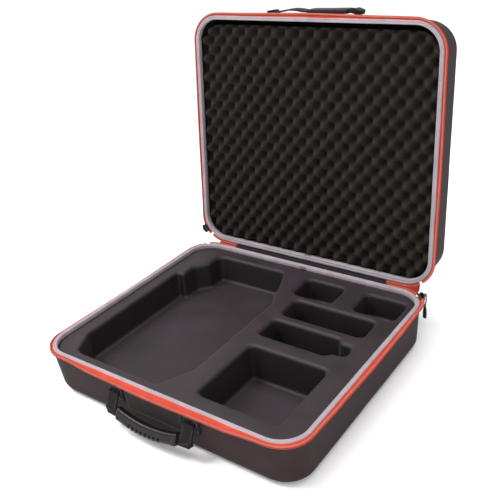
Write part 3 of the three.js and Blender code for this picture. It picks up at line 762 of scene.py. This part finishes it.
def hinge_leaf_shape(half):
    x = spans(-HINGE_HALF, HINGE_HALF, 4)
    wave = wander(x + HINGE_HALF, 41 + len(half), 0.25, 60, 2 * HINGE_HALF)
    rings = [[(place, INNER_DEPTH / 2 + n + w * min(1, max(0, (-z - 2) / 8)), z)
              for n, z in HINGE_SECTION] for place, w in zip(x, wave)]
    return loft(rings)


def make_rim(half, matrix):
    piece(f"{half}_rim_binding", binding_shape(), matrix, half, BINDING_TAPE,
          [f"{half}_binding"])
    piece(f"{half}_rim_stitching", rim_stitches(), matrix, half, GREY_THREAD)
    piece(f"{half}_zip_tape", zip_tape_shape(half), matrix, half, ZIP_TAPE,
          [f"{half}_zipper_tape"])
    piece(f"{half}_zip_coil", coil_shape(half), matrix, half, COIL,
          [f"{half}_zipper_coil"])
    for side, (start, end) in tail_spans().items():
        piece(f"{half}_zip_tail_{side}", tail_tape_shape(start, end), matrix, half, ZIP_TAPE,
              [f"{half}_rear_tape_{side}"])
        piece(f"{half}_tail_coil_{side}", tail_coil_shape(start, end), matrix, half, COIL)
    leaf = piece(f"{half}_hinge_webbing", hinge_leaf_shape(half), matrix, half, HINGE_CLOTH,
                 [f"{half}_hinge_leaf"])


# ------------------------------------------------------------------ foam tray

TRAY_TOP = -6
TRAY_EDGE = -0.5
LIP = 6
SHOULDER = 5
FLOOR_FILLET = 5
POCKET_DRAFT = 0.05
DRONE_BAY = [(-157, -167), (-12, -168), (11, -118), (11, 75), (-2, 100), (-5, 120), (-22, 163),
             (-147, 162), (-148, 130), (-164, 110), (-165, 81), (-177, 81), (-176, -126)]
STEPPED_SLOT = [(39, -7), (142, -7), (150, 2), (163, 2), (168, 8), (168, 21), (163, 27),
                (150, 27), (142, 36), (39, 36)]


def rectangle(left, right, front, back):
    return [(left, front), (right, front), (right, back), (left, back)]


# Outline, depth and corner radius of each pocket.
POCKETS = [
    (DRONE_BAY, 44, 13), (STEPPED_SLOT, 40, 7), (rectangle(39, 168, 53, 98), 40, 10),
    (rectangle(24, 88, 112, 163), 36, 10), (rectangle(123, 187, 112, 163), 36, 10),
    (rectangle(45, 164, -157, -35), 52, 11),
]


def pushed_out(corners, distance):
    """Moves each side of a polygon outward."""
    corners = np.asarray(corners, float)
    before = corners - np.roll(corners, 1, axis=0)
    after = np.roll(corners, -1, axis=0) - corners
    before /= np.linalg.norm(before, axis=1)[:, None]
    after /= np.linalg.norm(after, axis=1)[:, None]
    normal = np.stack([before[:, 1] + after[:, 1], -before[:, 0] - after[:, 0]], axis=1)
    normal /= np.linalg.norm(normal, axis=1)[:, None]
    lean = normal[:, 0] * before[:, 1] - normal[:, 1] * before[:, 0]
    return corners + normal * (distance / np.maximum(0.3, lean))[:, None]


def rounded(corners, radius, steps=8):
    """A polygon's outline with round corners."""
    corners = np.asarray(corners, float)
    outline = []
    for i, corner in enumerate(corners):
        back = corners[i - 1] - corner
        on = corners[(i + 1) % len(corners)] - corner
        cosine = back @ on / np.linalg.norm(back) / np.linalg.norm(on)
        half = math.acos(max(-1, min(1, cosine))) / 2
        room = 0.46 * min(np.linalg.norm(back), np.linalg.norm(on))
        reach = min(radius / math.tan(half), room)
        start = corner + back / np.linalg.norm(back) * reach
        end = corner + on / np.linalg.norm(on) * reach
        for t in np.linspace(0, 1, steps + 1):
            outline.append((1 - t) ** 2 * start + 2 * t * (1 - t) * corner + t * t * end)
    return np.array(outline)


def inside(points, outline):
    """Which points lie in an outline, by the even-odd rule."""
    x, y = points[:, 0], points[:, 1]
    hit = np.zeros(len(points), bool)
    for (x1, y1), (x2, y2) in zip(outline, np.roll(outline, -1, axis=0)):
        crosses = (y1 > y) != (y2 > y)
        at = x1 + (y - y1) * (x2 - x1) / np.where(abs(y2 - y1) < 1e-9, 1e-9, y2 - y1)
        hit ^= crosses & (x < at)
    return hit


def filled(outer, holes, step, margin):
    """Triangles that fill an outline less its holes, with a grid of points between them."""
    loops = [outer, *holes]
    grid_x, grid_y = np.meshgrid(np.arange(outer[:, 0].min(), outer[:, 0].max(), step),
                                 np.arange(outer[:, 1].min(), outer[:, 1].max(), step))
    grid = np.stack([grid_x.ravel(), grid_y.ravel()], axis=1)
    keep = inside(grid, outer)
    for hole in holes:
        keep &= ~inside(grid, hole)
    for loop in loops:
        for start, end in zip(loop, np.roll(loop, -1, axis=0)):
            side = end - start
            t = np.clip((grid - start) @ side / max(side @ side, 1e-9), 0, 1)
            keep &= np.linalg.norm(grid - start - t[:, None] * side, axis=1) > margin
    points = np.concatenate([*loops, grid[keep]])
    edges = []
    first = 0
    for loop in loops:
        edges += [(first + i, first + (i + 1) % len(loop)) for i in range(len(loop))]
        first += len(loop)
    made = delaunay_2d_cdt([Vector(p) for p in points], edges, [], 0, 1e-5)
    flat = np.array([tuple(v) for v in made[0]])
    faces = np.array(made[2])
    middle = flat[faces].mean(axis=1)
    keep = inside(middle, outer)
    for hole in holes:
        keep &= ~inside(middle, hole)
    return flat, [tuple(face) for face in faces[keep]]


def quarter(radius, steps=7):
    """Runs of (out, down) round a quarter circle, from level to upright."""
    return [(radius * (1 - math.sin(a)), -radius * (1 - math.cos(a)))
            for a in np.linspace(0, math.pi / 2, steps)]


def pocket_levels(corners, depth, radius):
    """Outlines of one pocket from its lip down to its floor."""
    lip = [(out, TRAY_TOP + down) for out, down in quarter(LIP)]
    floor = TRAY_TOP - depth
    wall_end = floor + FLOOR_FILLET
    foot = [(-POCKET_DRAFT * depth - FLOOR_FILLET * (1 - math.cos(a)),
             wall_end - FLOOR_FILLET * math.sin(a)) for a in np.linspace(0, math.pi / 2, 6)]
    return [(rounded(pushed_out(corners, out), radius + out), z) for out, z in lip + foot]


def levels_to_rings(levels):
    return np.array([np.c_[outline, np.full(len(outline), z)] for outline, z in levels])


def tray_shape():
    shapes = []
    holes = []
    for corners, depth, radius in POCKETS:
        levels = pocket_levels(corners, depth, radius)
        rings = levels_to_rings(levels)
        points, faces, threads = loft(rings, capped=False)
        size = rings.shape[1]
        faces.append(tuple(range((len(rings) - 1) * size, len(rings) * size)))
        shapes.append((points, faces, threads))
        holes.append(levels[0][0])
    top = shell_ring(TRAY_EDGE - SHOULDER, TRAY_TOP)
    sides = [shell_ring(TRAY_EDGE - SHOULDER + SHOULDER * math.sin(a),
                        TRAY_TOP - SHOULDER * (1 - math.cos(a)))
             for a in np.linspace(0, math.pi / 2, 7)]
    sides += [shell_ring(TRAY_EDGE, -22), shell_ring(-4.4, -BASE_DEPTH + 22),
              shell_ring(-18, -BASE_DEPTH + 5)]
    points, faces, threads = loft(sides, capped=False)
    size = len(sides[0])
    faces.append(tuple(range((len(sides) - 1) * size, len(sides) * size)))
    shapes.append((points, faces, threads))
    flat, triangles = filled(top[:, :2], holes, 9, 3)
    surface = np.c_[flat, np.full(len(flat), float(TRAY_TOP))]
    shapes.append((surface, triangles, np.zeros_like(surface)))
    return joined(shapes)


def make_tray():
    tray = piece("velour_tray", tray_shape(), on_base(), "base", VELOUR,
                 ["foam_tray"], weld=WELD)


# ------------------------------------------------------------------ profiled lid foam

CRATE_PITCH = (24.3, 30.2)
CRATE_MIDDLE = -12
CRATE_SWING = 7
FOAM_BOTTOM = -33
FOAM_CLEARANCE = 0.8
FOAM_FRONT_GAP = 8


def crate_height(x, y):
    """Convoluted foam: staggered round peaks with pits between, each row half a pitch along."""
    wave = np.cos(2 * np.pi * x / CRATE_PITCH[0]) * np.cos(2 * np.pi * y / CRATE_PITCH[1])
    shaped = np.sign(wave) * np.abs(wave) ** 0.85
    uneven = 0.5 * np.sin(x / 31 + 1.3) * np.cos(y / 43 + 0.4)
    return CRATE_MIDDLE + CRATE_SWING * shaped + uneven


def lid_foam_shape():
    half_x = INNER_WIDTH / 2 - FOAM_CLEARANCE
    half_y = INNER_DEPTH / 2 - FOAM_CLEARANCE
    outline = rounded(rectangle(-half_x, half_x, FOAM_FRONT_GAP - half_y, half_y), 40, 14)
    dense = []
    for start, end in zip(outline, np.roll(outline, -1, axis=0)):
        count = max(1, int(np.linalg.norm(end - start) / 2.5))
        dense += [start + (end - start) * i / count for i in range(count)]
    outline = np.array(dense)
    flat, faces = filled(outline, [], 2.1, 1.2)
    top = np.c_[flat, crate_height(flat[:, 0], flat[:, 1])]
    edge = np.c_[outline, crate_height(outline[:, 0], outline[:, 1])]
    bottom = np.c_[outline, np.full(len(outline), float(FOAM_BOTTOM))]
    points, side_faces, threads = loft([edge, bottom], capped=False)
    size = len(outline)
    side_faces.append(tuple(range(size, 2 * size)))
    threads = np.c_[np.zeros((len(points), 2)), points[:, 2]]
    top_threads = np.c_[np.zeros((len(top), 2)), top[:, 2]]
    return joined([(points, side_faces, threads), (top, faces, top_threads)])


def make_lid_foam():
    foam = piece("profiled_foam", lid_foam_shape(), on_lid(), "lid", FOAM,
                 ["lid_egg_crate_foam", "lid_foam_pad"], weld=WELD)


# ------------------------------------------------------------------ straps and handles

ANCHOR_X = 62
ANCHOR_WIDTH = 26
ANCHOR_LIFT = 0.4
ANCHOR_THICKNESS = 2
CLOTH_TOP = -10.5
ANCHOR_BOTTOM = -35
PATCH_BOTTOM = -46
PATCH_HALF = 48
HANDLE_LEAN = 25
HANDLE_PIVOT = (0, -INNER_DEPTH / 2 - 10, -22)
GRIP_HALF = 49.5
GRIP_NEAR = 22
GRIP_BOW = 7
GRIP_SPAN = 51
GRIP_WIDTH = 17
GRIP_HEIGHT = 13
BAND_WIDTH = 14
NOTCH_COUNT = 8
NOTCH_PITCH = 7
NOTCH_HALF = 2.2
NOTCH_CUT = 6.5
LID_STRAP_Z = -23
SLEEVE_ENDS = (-6, 60)
LID_STRAP_LINE = [(-74, 10.2), (-60, 11), (-46, 13.8), (-34, 15.4), (-22, 14.8), (-10, 13.4),
                  (20, 13.4), (50, 14.2), (62, 14.4), (70, 12.4), (76, 10.2)]


def cloth(corners, radius, thickness, place, step=4, ripple=0.0, seed=0):
    """A flat piece of thick cloth with a soft edge, set in place by a function of (u, v, w)."""
    soft = 0.45 * thickness
    outer = rounded(corners, radius, 4)
    inner = rounded(pushed_out(corners, -soft), max(0.3, radius - soft), 4)
    half = thickness / 2
    rings = levels_to_rings([(inner, half), (outer, half * 0.35), (outer, -half * 0.35),
                             (inner, -half)])
    flat, triangles = filled(inner, [], step, step * 0.45)
    chance = random.Random(seed)
    phases = [chance.uniform(0, 6.28) for _ in range(3)]

    def lifted(points):
        u, v = points[:, 0], points[:, 1]
        lift = ripple * (np.sin(u / 9 + phases[0]) * np.cos(v / 7 + phases[1])
                         + 0.6 * np.sin((u + v) / 5 + phases[2]))
        return np.c_[points[:, :2], points[:, 2] + lift]

    side, faces, _ = loft(rings, capped=False)
    shapes = [(side, faces)]
    shapes += [(np.c_[flat, np.full(len(flat), w)], triangles) for w in (half, -half)]
    placed = []
    for points, some_faces in shapes:
        raised = lifted(points)
        placed.append((place(raised), some_faces, np.c_[raised[:, 1], raised[:, 0], raised[:, 2]]))
    return joined(placed)


def seam(path, up, pitch=3.2, length=2.3, radius=0.3):
    """A row of stitches along a path, standing a little proud of the cloth."""
    path = np.asarray(path, float)
    at = np.r_[0, np.cumsum(np.linalg.norm(np.diff(path, axis=0), axis=1))]
    first = np.arange(0.4, at[-1] - length, pitch)
    starts = np.stack([np.interp(first, at, path[:, k]) for k in range(3)], axis=1)
    ends = np.stack([np.interp(first + length, at, path[:, k]) for k in range(3)], axis=1)
    return capsule_row(starts, ends, np.tile(np.asarray(up, float), (len(first), 1)), radius, 0.1)


def wall_outset(z):
    return SHELL_OUTSET - DRAFT * np.maximum(0, DRAFT_START - z)


def on_wall(lift):
    """Places (x, z, w) on the front wall, with w counted outward from a lift above it."""
    def place(points):
        x, z, w = points[:, 0], points[:, 1], points[:, 2]
        return np.stack([x, -INNER_DEPTH / 2 - wall_outset(z) - lift - w, z], axis=1)
    return place


def wall_seam(points, lift):
    path = on_wall(lift)(np.array([(x, z, 0) for x, z in points], float))
    return seam(path, (0, -1, 0))


def box_stitch(left, right, bottom, top, lift):
    """Four sides and a cross, as a strap's end is sewn down."""
    corners = [(left, bottom), (right, bottom), (right, top), (left, top)]
    rows = [wall_seam([a, b], lift) for a, b in zip(corners, corners[1:] + corners[:1])]
    rows += [wall_seam([corners[0], corners[2]], lift), wall_seam([corners[1], corners[3]], lift)]
    return joined(rows)


def make_anchors(half, matrix):
    for side, sign in (("right", 1), ("left", -1)):
        left, right = sorted((sign * (ANCHOR_X - ANCHOR_WIDTH / 2),
                              sign * (ANCHOR_X + ANCHOR_WIDTH / 2)))
        lift = ANCHOR_LIFT + ANCHOR_THICKNESS / 2
        shape = cloth(rectangle(left, right, ANCHOR_BOTTOM, CLOTH_TOP), 1.2, ANCHOR_THICKNESS,
                      on_wall(lift), ripple=0.12, seed=sign + 3)
        anchor = piece(f"{half}_handle_anchor_{side}", shape, matrix, half, WEBBING,
                       [f"{half}_anchor_{side}"], weld=WELD)
        stitches = box_stitch(left + 3, right - 3, -32, -14, lift + ANCHOR_THICKNESS / 2 + 0.1)
        piece(f"{half}_anchor_stitching_{side}", stitches, matrix, half, BLACK_THREAD)


def make_handle_panel():
    """The cloth panel between the arms, sewn down round its edge."""
    shape = cloth(rectangle(-PATCH_HALF, PATCH_HALF, PATCH_BOTTOM, CLOTH_TOP), 4, 1.0,
                  on_wall(ANCHOR_LIFT + 0.7), ripple=0.18, seed=9)
    panel = piece("handle_panel", shape, on_base(), "base", PANEL_CLOTH,
                  ["handle_patch"], weld=WELD)
    edge = rectangle(-PATCH_HALF + 3, PATCH_HALF - 3, PATCH_BOTTOM + 2.5, CLOTH_TOP - 2.5)
    edge.append(edge[0])
    rows = joined([wall_seam([a, b], ANCHOR_LIFT + 1.35) for a, b in zip(edge, edge[1:])])
    piece("panel_stitching", rows, on_base(), "base", BLACK_THREAD)


def at_handle():
    return (on_base() @ Matrix.Translation(HANDLE_PIVOT)
            @ Matrix.Rotation(-math.radians(90 + HANDLE_LEAN), 4, "X"))


def grip_reach(x):
    return GRIP_NEAR + GRIP_BOW * (1 - (x / GRIP_SPAN) ** 2)


def flat_at(height):
    def place(points):
        return points + [0, 0, height]
    return place


def make_handle_straps():
    """Webbing arms that turn at a sewn fold into the band that runs through the grip."""
    shapes = []
    stitches = []
    for sign in (1, -1):
        arm = [(53, 0.5), (71, 0.5), (71.5, 20), (66, 27.5), (52, 28.5)]
        corner = [(54, 19), (70, 17), (73, 23), (67, 28.5), (54, 29)]
        if sign < 0:
            arm, corner = ([(-x, y) for x, y in reversed(flat)] for flat in (arm, corner))
        shapes.append(cloth(arm, 1.5, 2.0, flat_at(-1.1), ripple=0.15, seed=sign + 5))
        shapes.append(cloth(corner, 1.5, 1.8, flat_at(1.0), ripple=0.2, seed=sign + 15))
        # The arm's end goes round the anchor in a roll.
        roll = [[(sign * x, 0.2 + 2.5 * math.cos(a), 2.5 * math.sin(a)) for a in angles(0, 330, 12)]
                for x in np.linspace(53.2, 70.8, 8)]
        shapes.append(loft(roll))
        for inset in (55, 69.3):
            stitches.append(seam([(sign * inset, 3, -2.2), (sign * inset, 19, -2.2)], (0, 0, -1)))
        fold = [(sign * 55, 25.5, -2.2), (sign * 68.5, 20.5, -2.2)]
        stitches.append(seam(fold, (0, 0, -1)))
    xs = spans(-60, 60, 3)
    band = [[(x, grip_reach(min(abs(x), 54)) + a, b)
             for a, b in soft_section(BAND_WIDTH, 2.2, 0.9)] for x in xs]
    shapes.append(loft(band))
    piece("handle_webbing", joined(shapes), at_handle(), "carry_handle", WEBBING,
          ["grip_strap"])
    piece("handle_stitching", joined(stitches), at_handle(), "carry_handle", BLACK_THREAD)


def soft_section(width, thickness, radius):
    """A rounded rectangle as (across, up), counter-clockwise from its lower right."""
    centre_a, centre_b = width / 2 - radius, thickness / 2 - radius
    points = []
    for k, (sa, sb) in enumerate([(1, -1), (1, 1), (-1, 1), (-1, -1)]):
        for a in angles(-90 + 90 * k, 90 * k, 4):
            points.append((sa * centre_a + radius * math.cos(a),
                           sb * centre_b + radius * math.sin(a)))
    return points


def make_grip():
    """Moulded grip: a flattened round with eight finger slots in its outer edge and end collars."""
    first = -(NOTCH_COUNT - 1) / 2 * NOTCH_PITCH
    notches = [first + i * NOTCH_PITCH for i in range(NOTCH_COUNT)]
    xs = set(np.round(spans(-43, 43, 2.5), 3))
    for x in notches:
        xs |= {round(x + side * step, 3) for side in (-1, 1)
               for step in (0.9, 1.6, 1.95, NOTCH_HALF, 2.7)}
    for x in (43.6, 44, 44.4, 46.5, 48.2, 49, 49.4, GRIP_HALF):
        xs |= {x, -x}
    turns = np.linspace(0, 2 * np.pi, 41)[:-1]
    rings = []
    for x in sorted(xs):
        scale = 1 - 0.1 * (min(abs(x), 44) / GRIP_HALF) ** 6
        if abs(x) > 44:
            scale *= 1.06 - 0.16 * max(0, (abs(x) - 48) / 1.5) ** 2
        across = power(np.cos(turns), 0.7) * GRIP_WIDTH / 2 * scale
        up = power(np.sin(turns), 0.7) * GRIP_HEIGHT / 2 * scale
        # A shallow thumb rest is pressed into the face that looks out from the case.
        up = np.where(up < 0, up * (1 - 0.12 * np.exp(-(across / 5) ** 2)), up)
        near = min(abs(x - notch) for notch in notches)
        cut = NOTCH_CUT * min(1, max(0, (NOTCH_HALF - near) / 0.6))
        across = np.minimum(across, GRIP_WIDTH / 2 * scale - cut)
        rings.append(np.stack([np.full(len(turns), x), grip_reach(x) + across, up], axis=1))

    def slit(x):
        """The hole that the band runs through."""
        across = power(np.cos(turns), 0.5) * (BAND_WIDTH / 2 + 0.5)
        return np.stack([np.full(len(turns), x), grip_reach(x) + across,
                         power(np.sin(turns), 0.5) * 1.6], axis=1)

    inner = [slit(x) for x in (GRIP_HALF, 44, 20, 0, -20, -44, -GRIP_HALF)]
    shape = loft([*rings, *inner], closed_along=True)
    grip = piece("grip_moulding", shape, at_handle(), "carry_handle", RUBBER,
                 ["rubber_grip"])
    # The ribs between the slots, along the grip's outer edge, get the lighter grey rubber.
    grip.data.materials.append(LIGHTER_RIB_RUBBER)
    to_handle = at_handle().inverted()
    for polygon in grip.data.polygons:
        middle = to_handle @ polygon.center
        if middle.y - grip_reach(middle.x) > 5.6 and abs(middle.x) < 42:
            polygon.material_index = 1
    keep_crisp(grip, 42)


def strap_path(count=90):
    """The lid strap's line, smoothed."""
    line = np.array(LID_STRAP_LINE, float)
    padded = np.vstack([2 * line[0] - line[1], line, 2 * line[-1] - line[-2]])
    points = []
    for k in range(len(line) - 1):
        a, b, c, d = padded[k:k + 4]
        for t in np.linspace(0, 1, count // (len(line) - 1), endpoint=False):
            points.append(0.5 * (2 * b + (c - a) * t + (2 * a - 5 * b + 4 * c - d) * t ** 2
                                 + (3 * b - a - 3 * c + d) * t ** 3))
    return np.array(points + [line[-1]])


def strap_rings(section, lift=0.0, start=-80, end=80):
    """Sections run along the lid strap. Across is up the wall and up is away from it."""
    path = strap_path()
    tangent = np.gradient(path, axis=0)
    tangent /= np.linalg.norm(tangent, axis=1)[:, None]
    keep = (path[:, 0] >= start) & (path[:, 0] <= end)
    rings = []
    for (x, n), (tx, tn) in zip(path[keep], tangent[keep]):
        rings.append([(x - (b + lift) * tn, -INNER_DEPTH / 2 - n - (b + lift) * tx,
                       LID_STRAP_Z + a) for a, b in section])
    return rings


def make_lid_handle():
    matrix = on_lid()
    piece("lid_strap_webbing", loft(strap_rings(soft_section(24, 2.4, 0.9))), matrix,
          "lid_handle", WEBBING, ["lid_strap"])
    outer, inner = (strap_rings(soft_section(*section), 0, *SLEEVE_ENDS)
                    for section in ((28, 6.4, 2.2), (25, 3.2, 1.0)))
    piece("strap_sleeve", loft([*outer, *reversed(inner)], closed_along=True), matrix,
          "lid_handle", PANEL_CLOTH, ["strap_wrap"])
    folds = [loft(strap_rings(soft_section(width, thickness, 0.9), lift, start, end))
             for width, thickness, lift, start, end in (
                 (23, 2.2, 2.4, 64, 77), (22, 2.0, 4.6, 66, 76), (23, 2.2, 2.4, -74, -66))]
    piece("strap_folded_ends", joined(folds), matrix, "lid_handle", WEBBING)
    edges = []
    for across in (-12.2, 12.2):
        row = np.array([ring[0] for ring in strap_rings([(across, 3.3)], 0, -4, 58)])
        edges.append(seam(row, (0, -1, 0)))
    piece("sleeve_stitching", joined(edges), matrix, "lid_handle", BLACK_THREAD)


# ------------------------------------------------------------------ zip sliders and stops

SLIDER_SECTION = [(9.2, -2.2), (10.4, -2.2), (10.4, -0.35), (14.1, -0.35), (14.1, -4.6),
                  (15.7, -4.6), (15.7, 3.2), (14.1, 3.2), (14.1, 0.35), (10.4, 0.35),
                  (10.4, 2.2), (9.2, 2.2)]
SLIDER_HALF_TURN = 8.3
SLIDER_N = 14.9
BRIDGE_N = 18.5
# Where each slider rests round its rear corner, in degrees from +X.
RIGHT_SLIDER_AT = 45
LEFT_SLIDER_AT = 215


def tube(path, radius, sides=10, closed=False):
    """A round tube along a path."""
    path = np.asarray(path, float)
    ahead = np.roll(path, -1, axis=0) - np.roll(path, 1, axis=0)
    if not closed:
        ahead[0], ahead[-1] = path[1] - path[0], path[-1] - path[-2]
    ahead /= np.linalg.norm(ahead, axis=1)[:, None]
    spread = np.ptp(path, axis=0)
    flat = np.eye(3)[int(np.argmin(spread))]
    rings = []
    for point, direction in zip(path, ahead):
        side = np.cross(direction, flat)
        side /= np.linalg.norm(side)
        up = np.cross(side, direction)
        rings.append([point + radius * (math.cos(a) * side + math.sin(a) * up)
                      for a in np.linspace(0, 2 * np.pi, sides + 1)[:-1]])
    return loft(rings, closed_along=closed)


def curved(points, count=8):
    """A path through points, with its corners eased."""
    points = np.asarray(points, float)
    path = [points[0]]
    for before, corner, after in zip(points, points[1:], points[2:]):
        start, end = (before + corner) / 2, (corner + after) / 2
        for t in np.linspace(0, 1, count):
            path.append((1 - t) ** 2 * start + 2 * t * (1 - t) * corner + t * t * end)
    return np.array(path + [points[-1]])


def slider_shape():
    """Two plates on a neck, drawn in at the tail, swept round the rim's corner."""
    rings = []
    for t in np.linspace(-1, 1, 17):
        turn = math.radians(SLIDER_HALF_TURN * t)
        narrow = 1 - 0.3 * max(0, t) ** 2 - 0.12 * abs(t) ** 6
        thin = 1 - 0.3 * abs(t) ** 8
        ring = []
        for n, z in SLIDER_SECTION:
            far = SLIDER_N + (n - SLIDER_N) * thin if n > COIL_LINE else n
            radius = INNER_RADIUS + far
            ring.append((radius * math.cos(turn), radius * math.sin(turn), z * narrow))
        rings.append(ring)
    plate = INNER_RADIUS + 15.2
    bar = INNER_RADIUS + BRIDGE_N
    bridge = tube(curved([(plate, -4.2, 0), (bar + 0.2, -4.2, 0), (bar + 0.2, 4.2, 0),
                          (plate, 4.2, 0)]), 0.75)
    return joined([loft(rings), bridge])


def pull_cord_shape():
    over = [(1.65 * math.cos(a), 0, 1.65 * math.sin(a)) for a in angles(0, 180, 13)]
    down = [(-1.6, 0, -6), (-1.5, 0, -12), (-0.9, 0, -17), (-0.7, 0, -21)]
    up = [(-x, 0, z) for x, _, z in reversed(down)]
    return tube(over + down + up, 0.95, 8, closed=True)


def pull_tab_shape():
    """A moulded tab with cross ribs, drawn over the knotted cord."""
    rings = []
    for z in np.arange(-19.6, -38.2, -0.35):
        t = (z + 19.6) / -18.4
        ribs = 0.22 * max(0, math.sin((z + 20) * 2 * math.pi / 2.6)) if 0.2 < t < 0.85 else 0
        ends = min(1, math.sqrt(max(0, 1 - (2 * t - 1) ** 10)) + 0.25)
        half = (2.7 + 1.3 * math.sin(t * 2.2)) * ends + ribs
        thick = (1.8 + 0.7 * math.sin(t * 2.4)) * ends + ribs
        rings.append([(thick * math.cos(a), half * math.sin(a), z) for a in angles(0, 345, 24)])
    return loft(rings)


def make_slider(side, matrix, pull_turn):
    slider = piece(f"zip_slider_{side}", slider_shape(), matrix, f"{side}_slider", ZINC,
                   [f"slider_{side}"])
    keep_crisp(slider, 40)
    bevel = slider.modifiers.new("worn edges", "BEVEL")
    bevel.width = 0.35 * MM
    bevel.segments = 2
    pull = (matrix @ Matrix.Translation((INNER_RADIUS + BRIDGE_N, 0, 0))
            @ Matrix.Rotation(-math.radians(pull_turn), 4, "Y"))
    piece(f"cord_loop_{side}", pull_cord_shape(), pull, f"{side}_pull", BLACK_THREAD,
          [f"pull_cord_{side}"])
    piece(f"moulded_tab_{side}", pull_tab_shape(), pull, f"{side}_pull", RUBBER,
          [f"pull_tab_{side}"])


def make_sliders():
    right = (on_base() @ Matrix.Translation((CORNER_X, CORNER_Y, 0))
             @ Matrix.Rotation(math.radians(RIGHT_SLIDER_AT), 4, "Z"))
    left = (on_lid(mirrored=False) @ Matrix.Translation((-CORNER_X, -CORNER_Y, 0))
            @ Matrix.Rotation(math.radians(LEFT_SLIDER_AT), 4, "Z"))
    make_slider("right", right, 0)
    make_slider("left", left, 20)


def make_zip_stops():
    """Small pinched stops at the ends of the closed tails."""
    for side in ("right", "left"):
        low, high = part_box(f"zip_stop_{side}")
        centre, half = np.array((low + high) / 2) / MM, np.array((high - low) / 2) / MM
        rings = []
        for t in np.linspace(-1, 1, 13):
            size = max(0.55, (1 - abs(t) ** 6) ** 0.5)
            rings.append([(centre[0] + half[0] * t,
                           centre[1] + half[1] * size * power(math.cos(a), 0.6),
                           centre[2] + half[2] * size * power(math.sin(a), 0.6))
                          for a in angles(0, 345, 24)])
        piece(f"pinched_stop_{side}", loft(rings), Matrix.Scale(MM, 4), "base", ZINC,
              [f"zip_stop_{side}"])


# ------------------------------------------------------------------ camera, light and floor

def look():
    camera_data = bpy.data.cameras.new("camera")
    camera_data.sensor_width = 36
    camera_data.lens = 52.96
    camera_data.shift_x = 0.0948
    camera_data.shift_y = -0.1064
    camera_data.clip_end = 50
    camera = bpy.data.objects.new("camera", camera_data)
    bpy.context.scene.collection.objects.link(camera)
    right = Vector((0.79487, 0.60053, -0.08682))
    up = Vector((-0.16249, 0.34852, 0.92311))
    back = right.cross(up)
    turn = Matrix((right, up, back)).transposed().to_4x4()
    camera.matrix_world = Matrix.Translation((0.5478, -0.72735, 0.63081)) @ turn
    bpy.context.scene.camera = camera


def area_light(name, place, aim, size, power):
    data = bpy.data.lights.new(name, "AREA")
    data.shape = "DISK"
    data.size = size
    data.energy = power
    light = bpy.data.objects.new(name, data)
    light.location = place
    light.rotation_euler = (Vector(aim) - Vector(place)).to_track_quat("-Z", "Y").to_euler()
    bpy.context.scene.collection.objects.link(light)


def studio():
    world = bpy.data.worlds.new("studio")
    world.use_nodes = True
    background = world.node_tree.nodes["Background"]
    background.inputs["Color"].default_value = linear("#ffffff")
    background.inputs["Strength"].default_value = 1.0
    bpy.context.scene.world = world
    area_light("key", (-1.1, -0.9, 2.0), (0, 0.05, 0.12), 1.0, 46)
    area_light("fill", (1.1, -1.6, 0.9), (0, 0, 0.05), 1.6, 9)
    area_light("top", (0.1, 0.5, 2.2), (0, 0.1, 0.1), 1.5, 22)
    bpy.context.scene.view_settings.view_transform = "Standard"


def make_floor():
    material, tree, shader, where = new_material("pale_floor", roughness=0.9)
    cloud = noise(tree, where, 400)
    tree.links.new(two_tone(tree, cloud, "#fbfbfb", "#fefefe"), shader.inputs["Base Color"])
    mesh = bpy.data.meshes.new("floor")
    far = 30
    mesh.from_pydata([(-far, -far, 0), (far, -far, 0), (far, far, 0), (-far, far, 0)], [],
                     [(0, 1, 2, 3)])
    mesh.materials.append(material)
    floor = bpy.data.objects.new("floor", mesh)
    floor.location.z = -0.0002
    bpy.context.scene.collection.objects.link(floor)


# ------------------------------------------------------------------ assembly

look()
studio()
make_floor()
HALVES = [("base", on_base(), BASE_DEPTH), ("lid", on_lid(), LID_DEPTH)]
for half, matrix, depth in HALVES:
    make_shell(half, matrix, depth)
for half, matrix, depth in HALVES:
    make_rim(half, matrix)
make_tail_web("right")
make_tail_web("left")
make_tray()
make_lid_foam()
for half, matrix, depth in HALVES:
    make_anchors(half, matrix)
make_handle_panel()
make_handle_straps()
make_grip()
make_lid_handle()
make_sliders()
make_zip_stops()
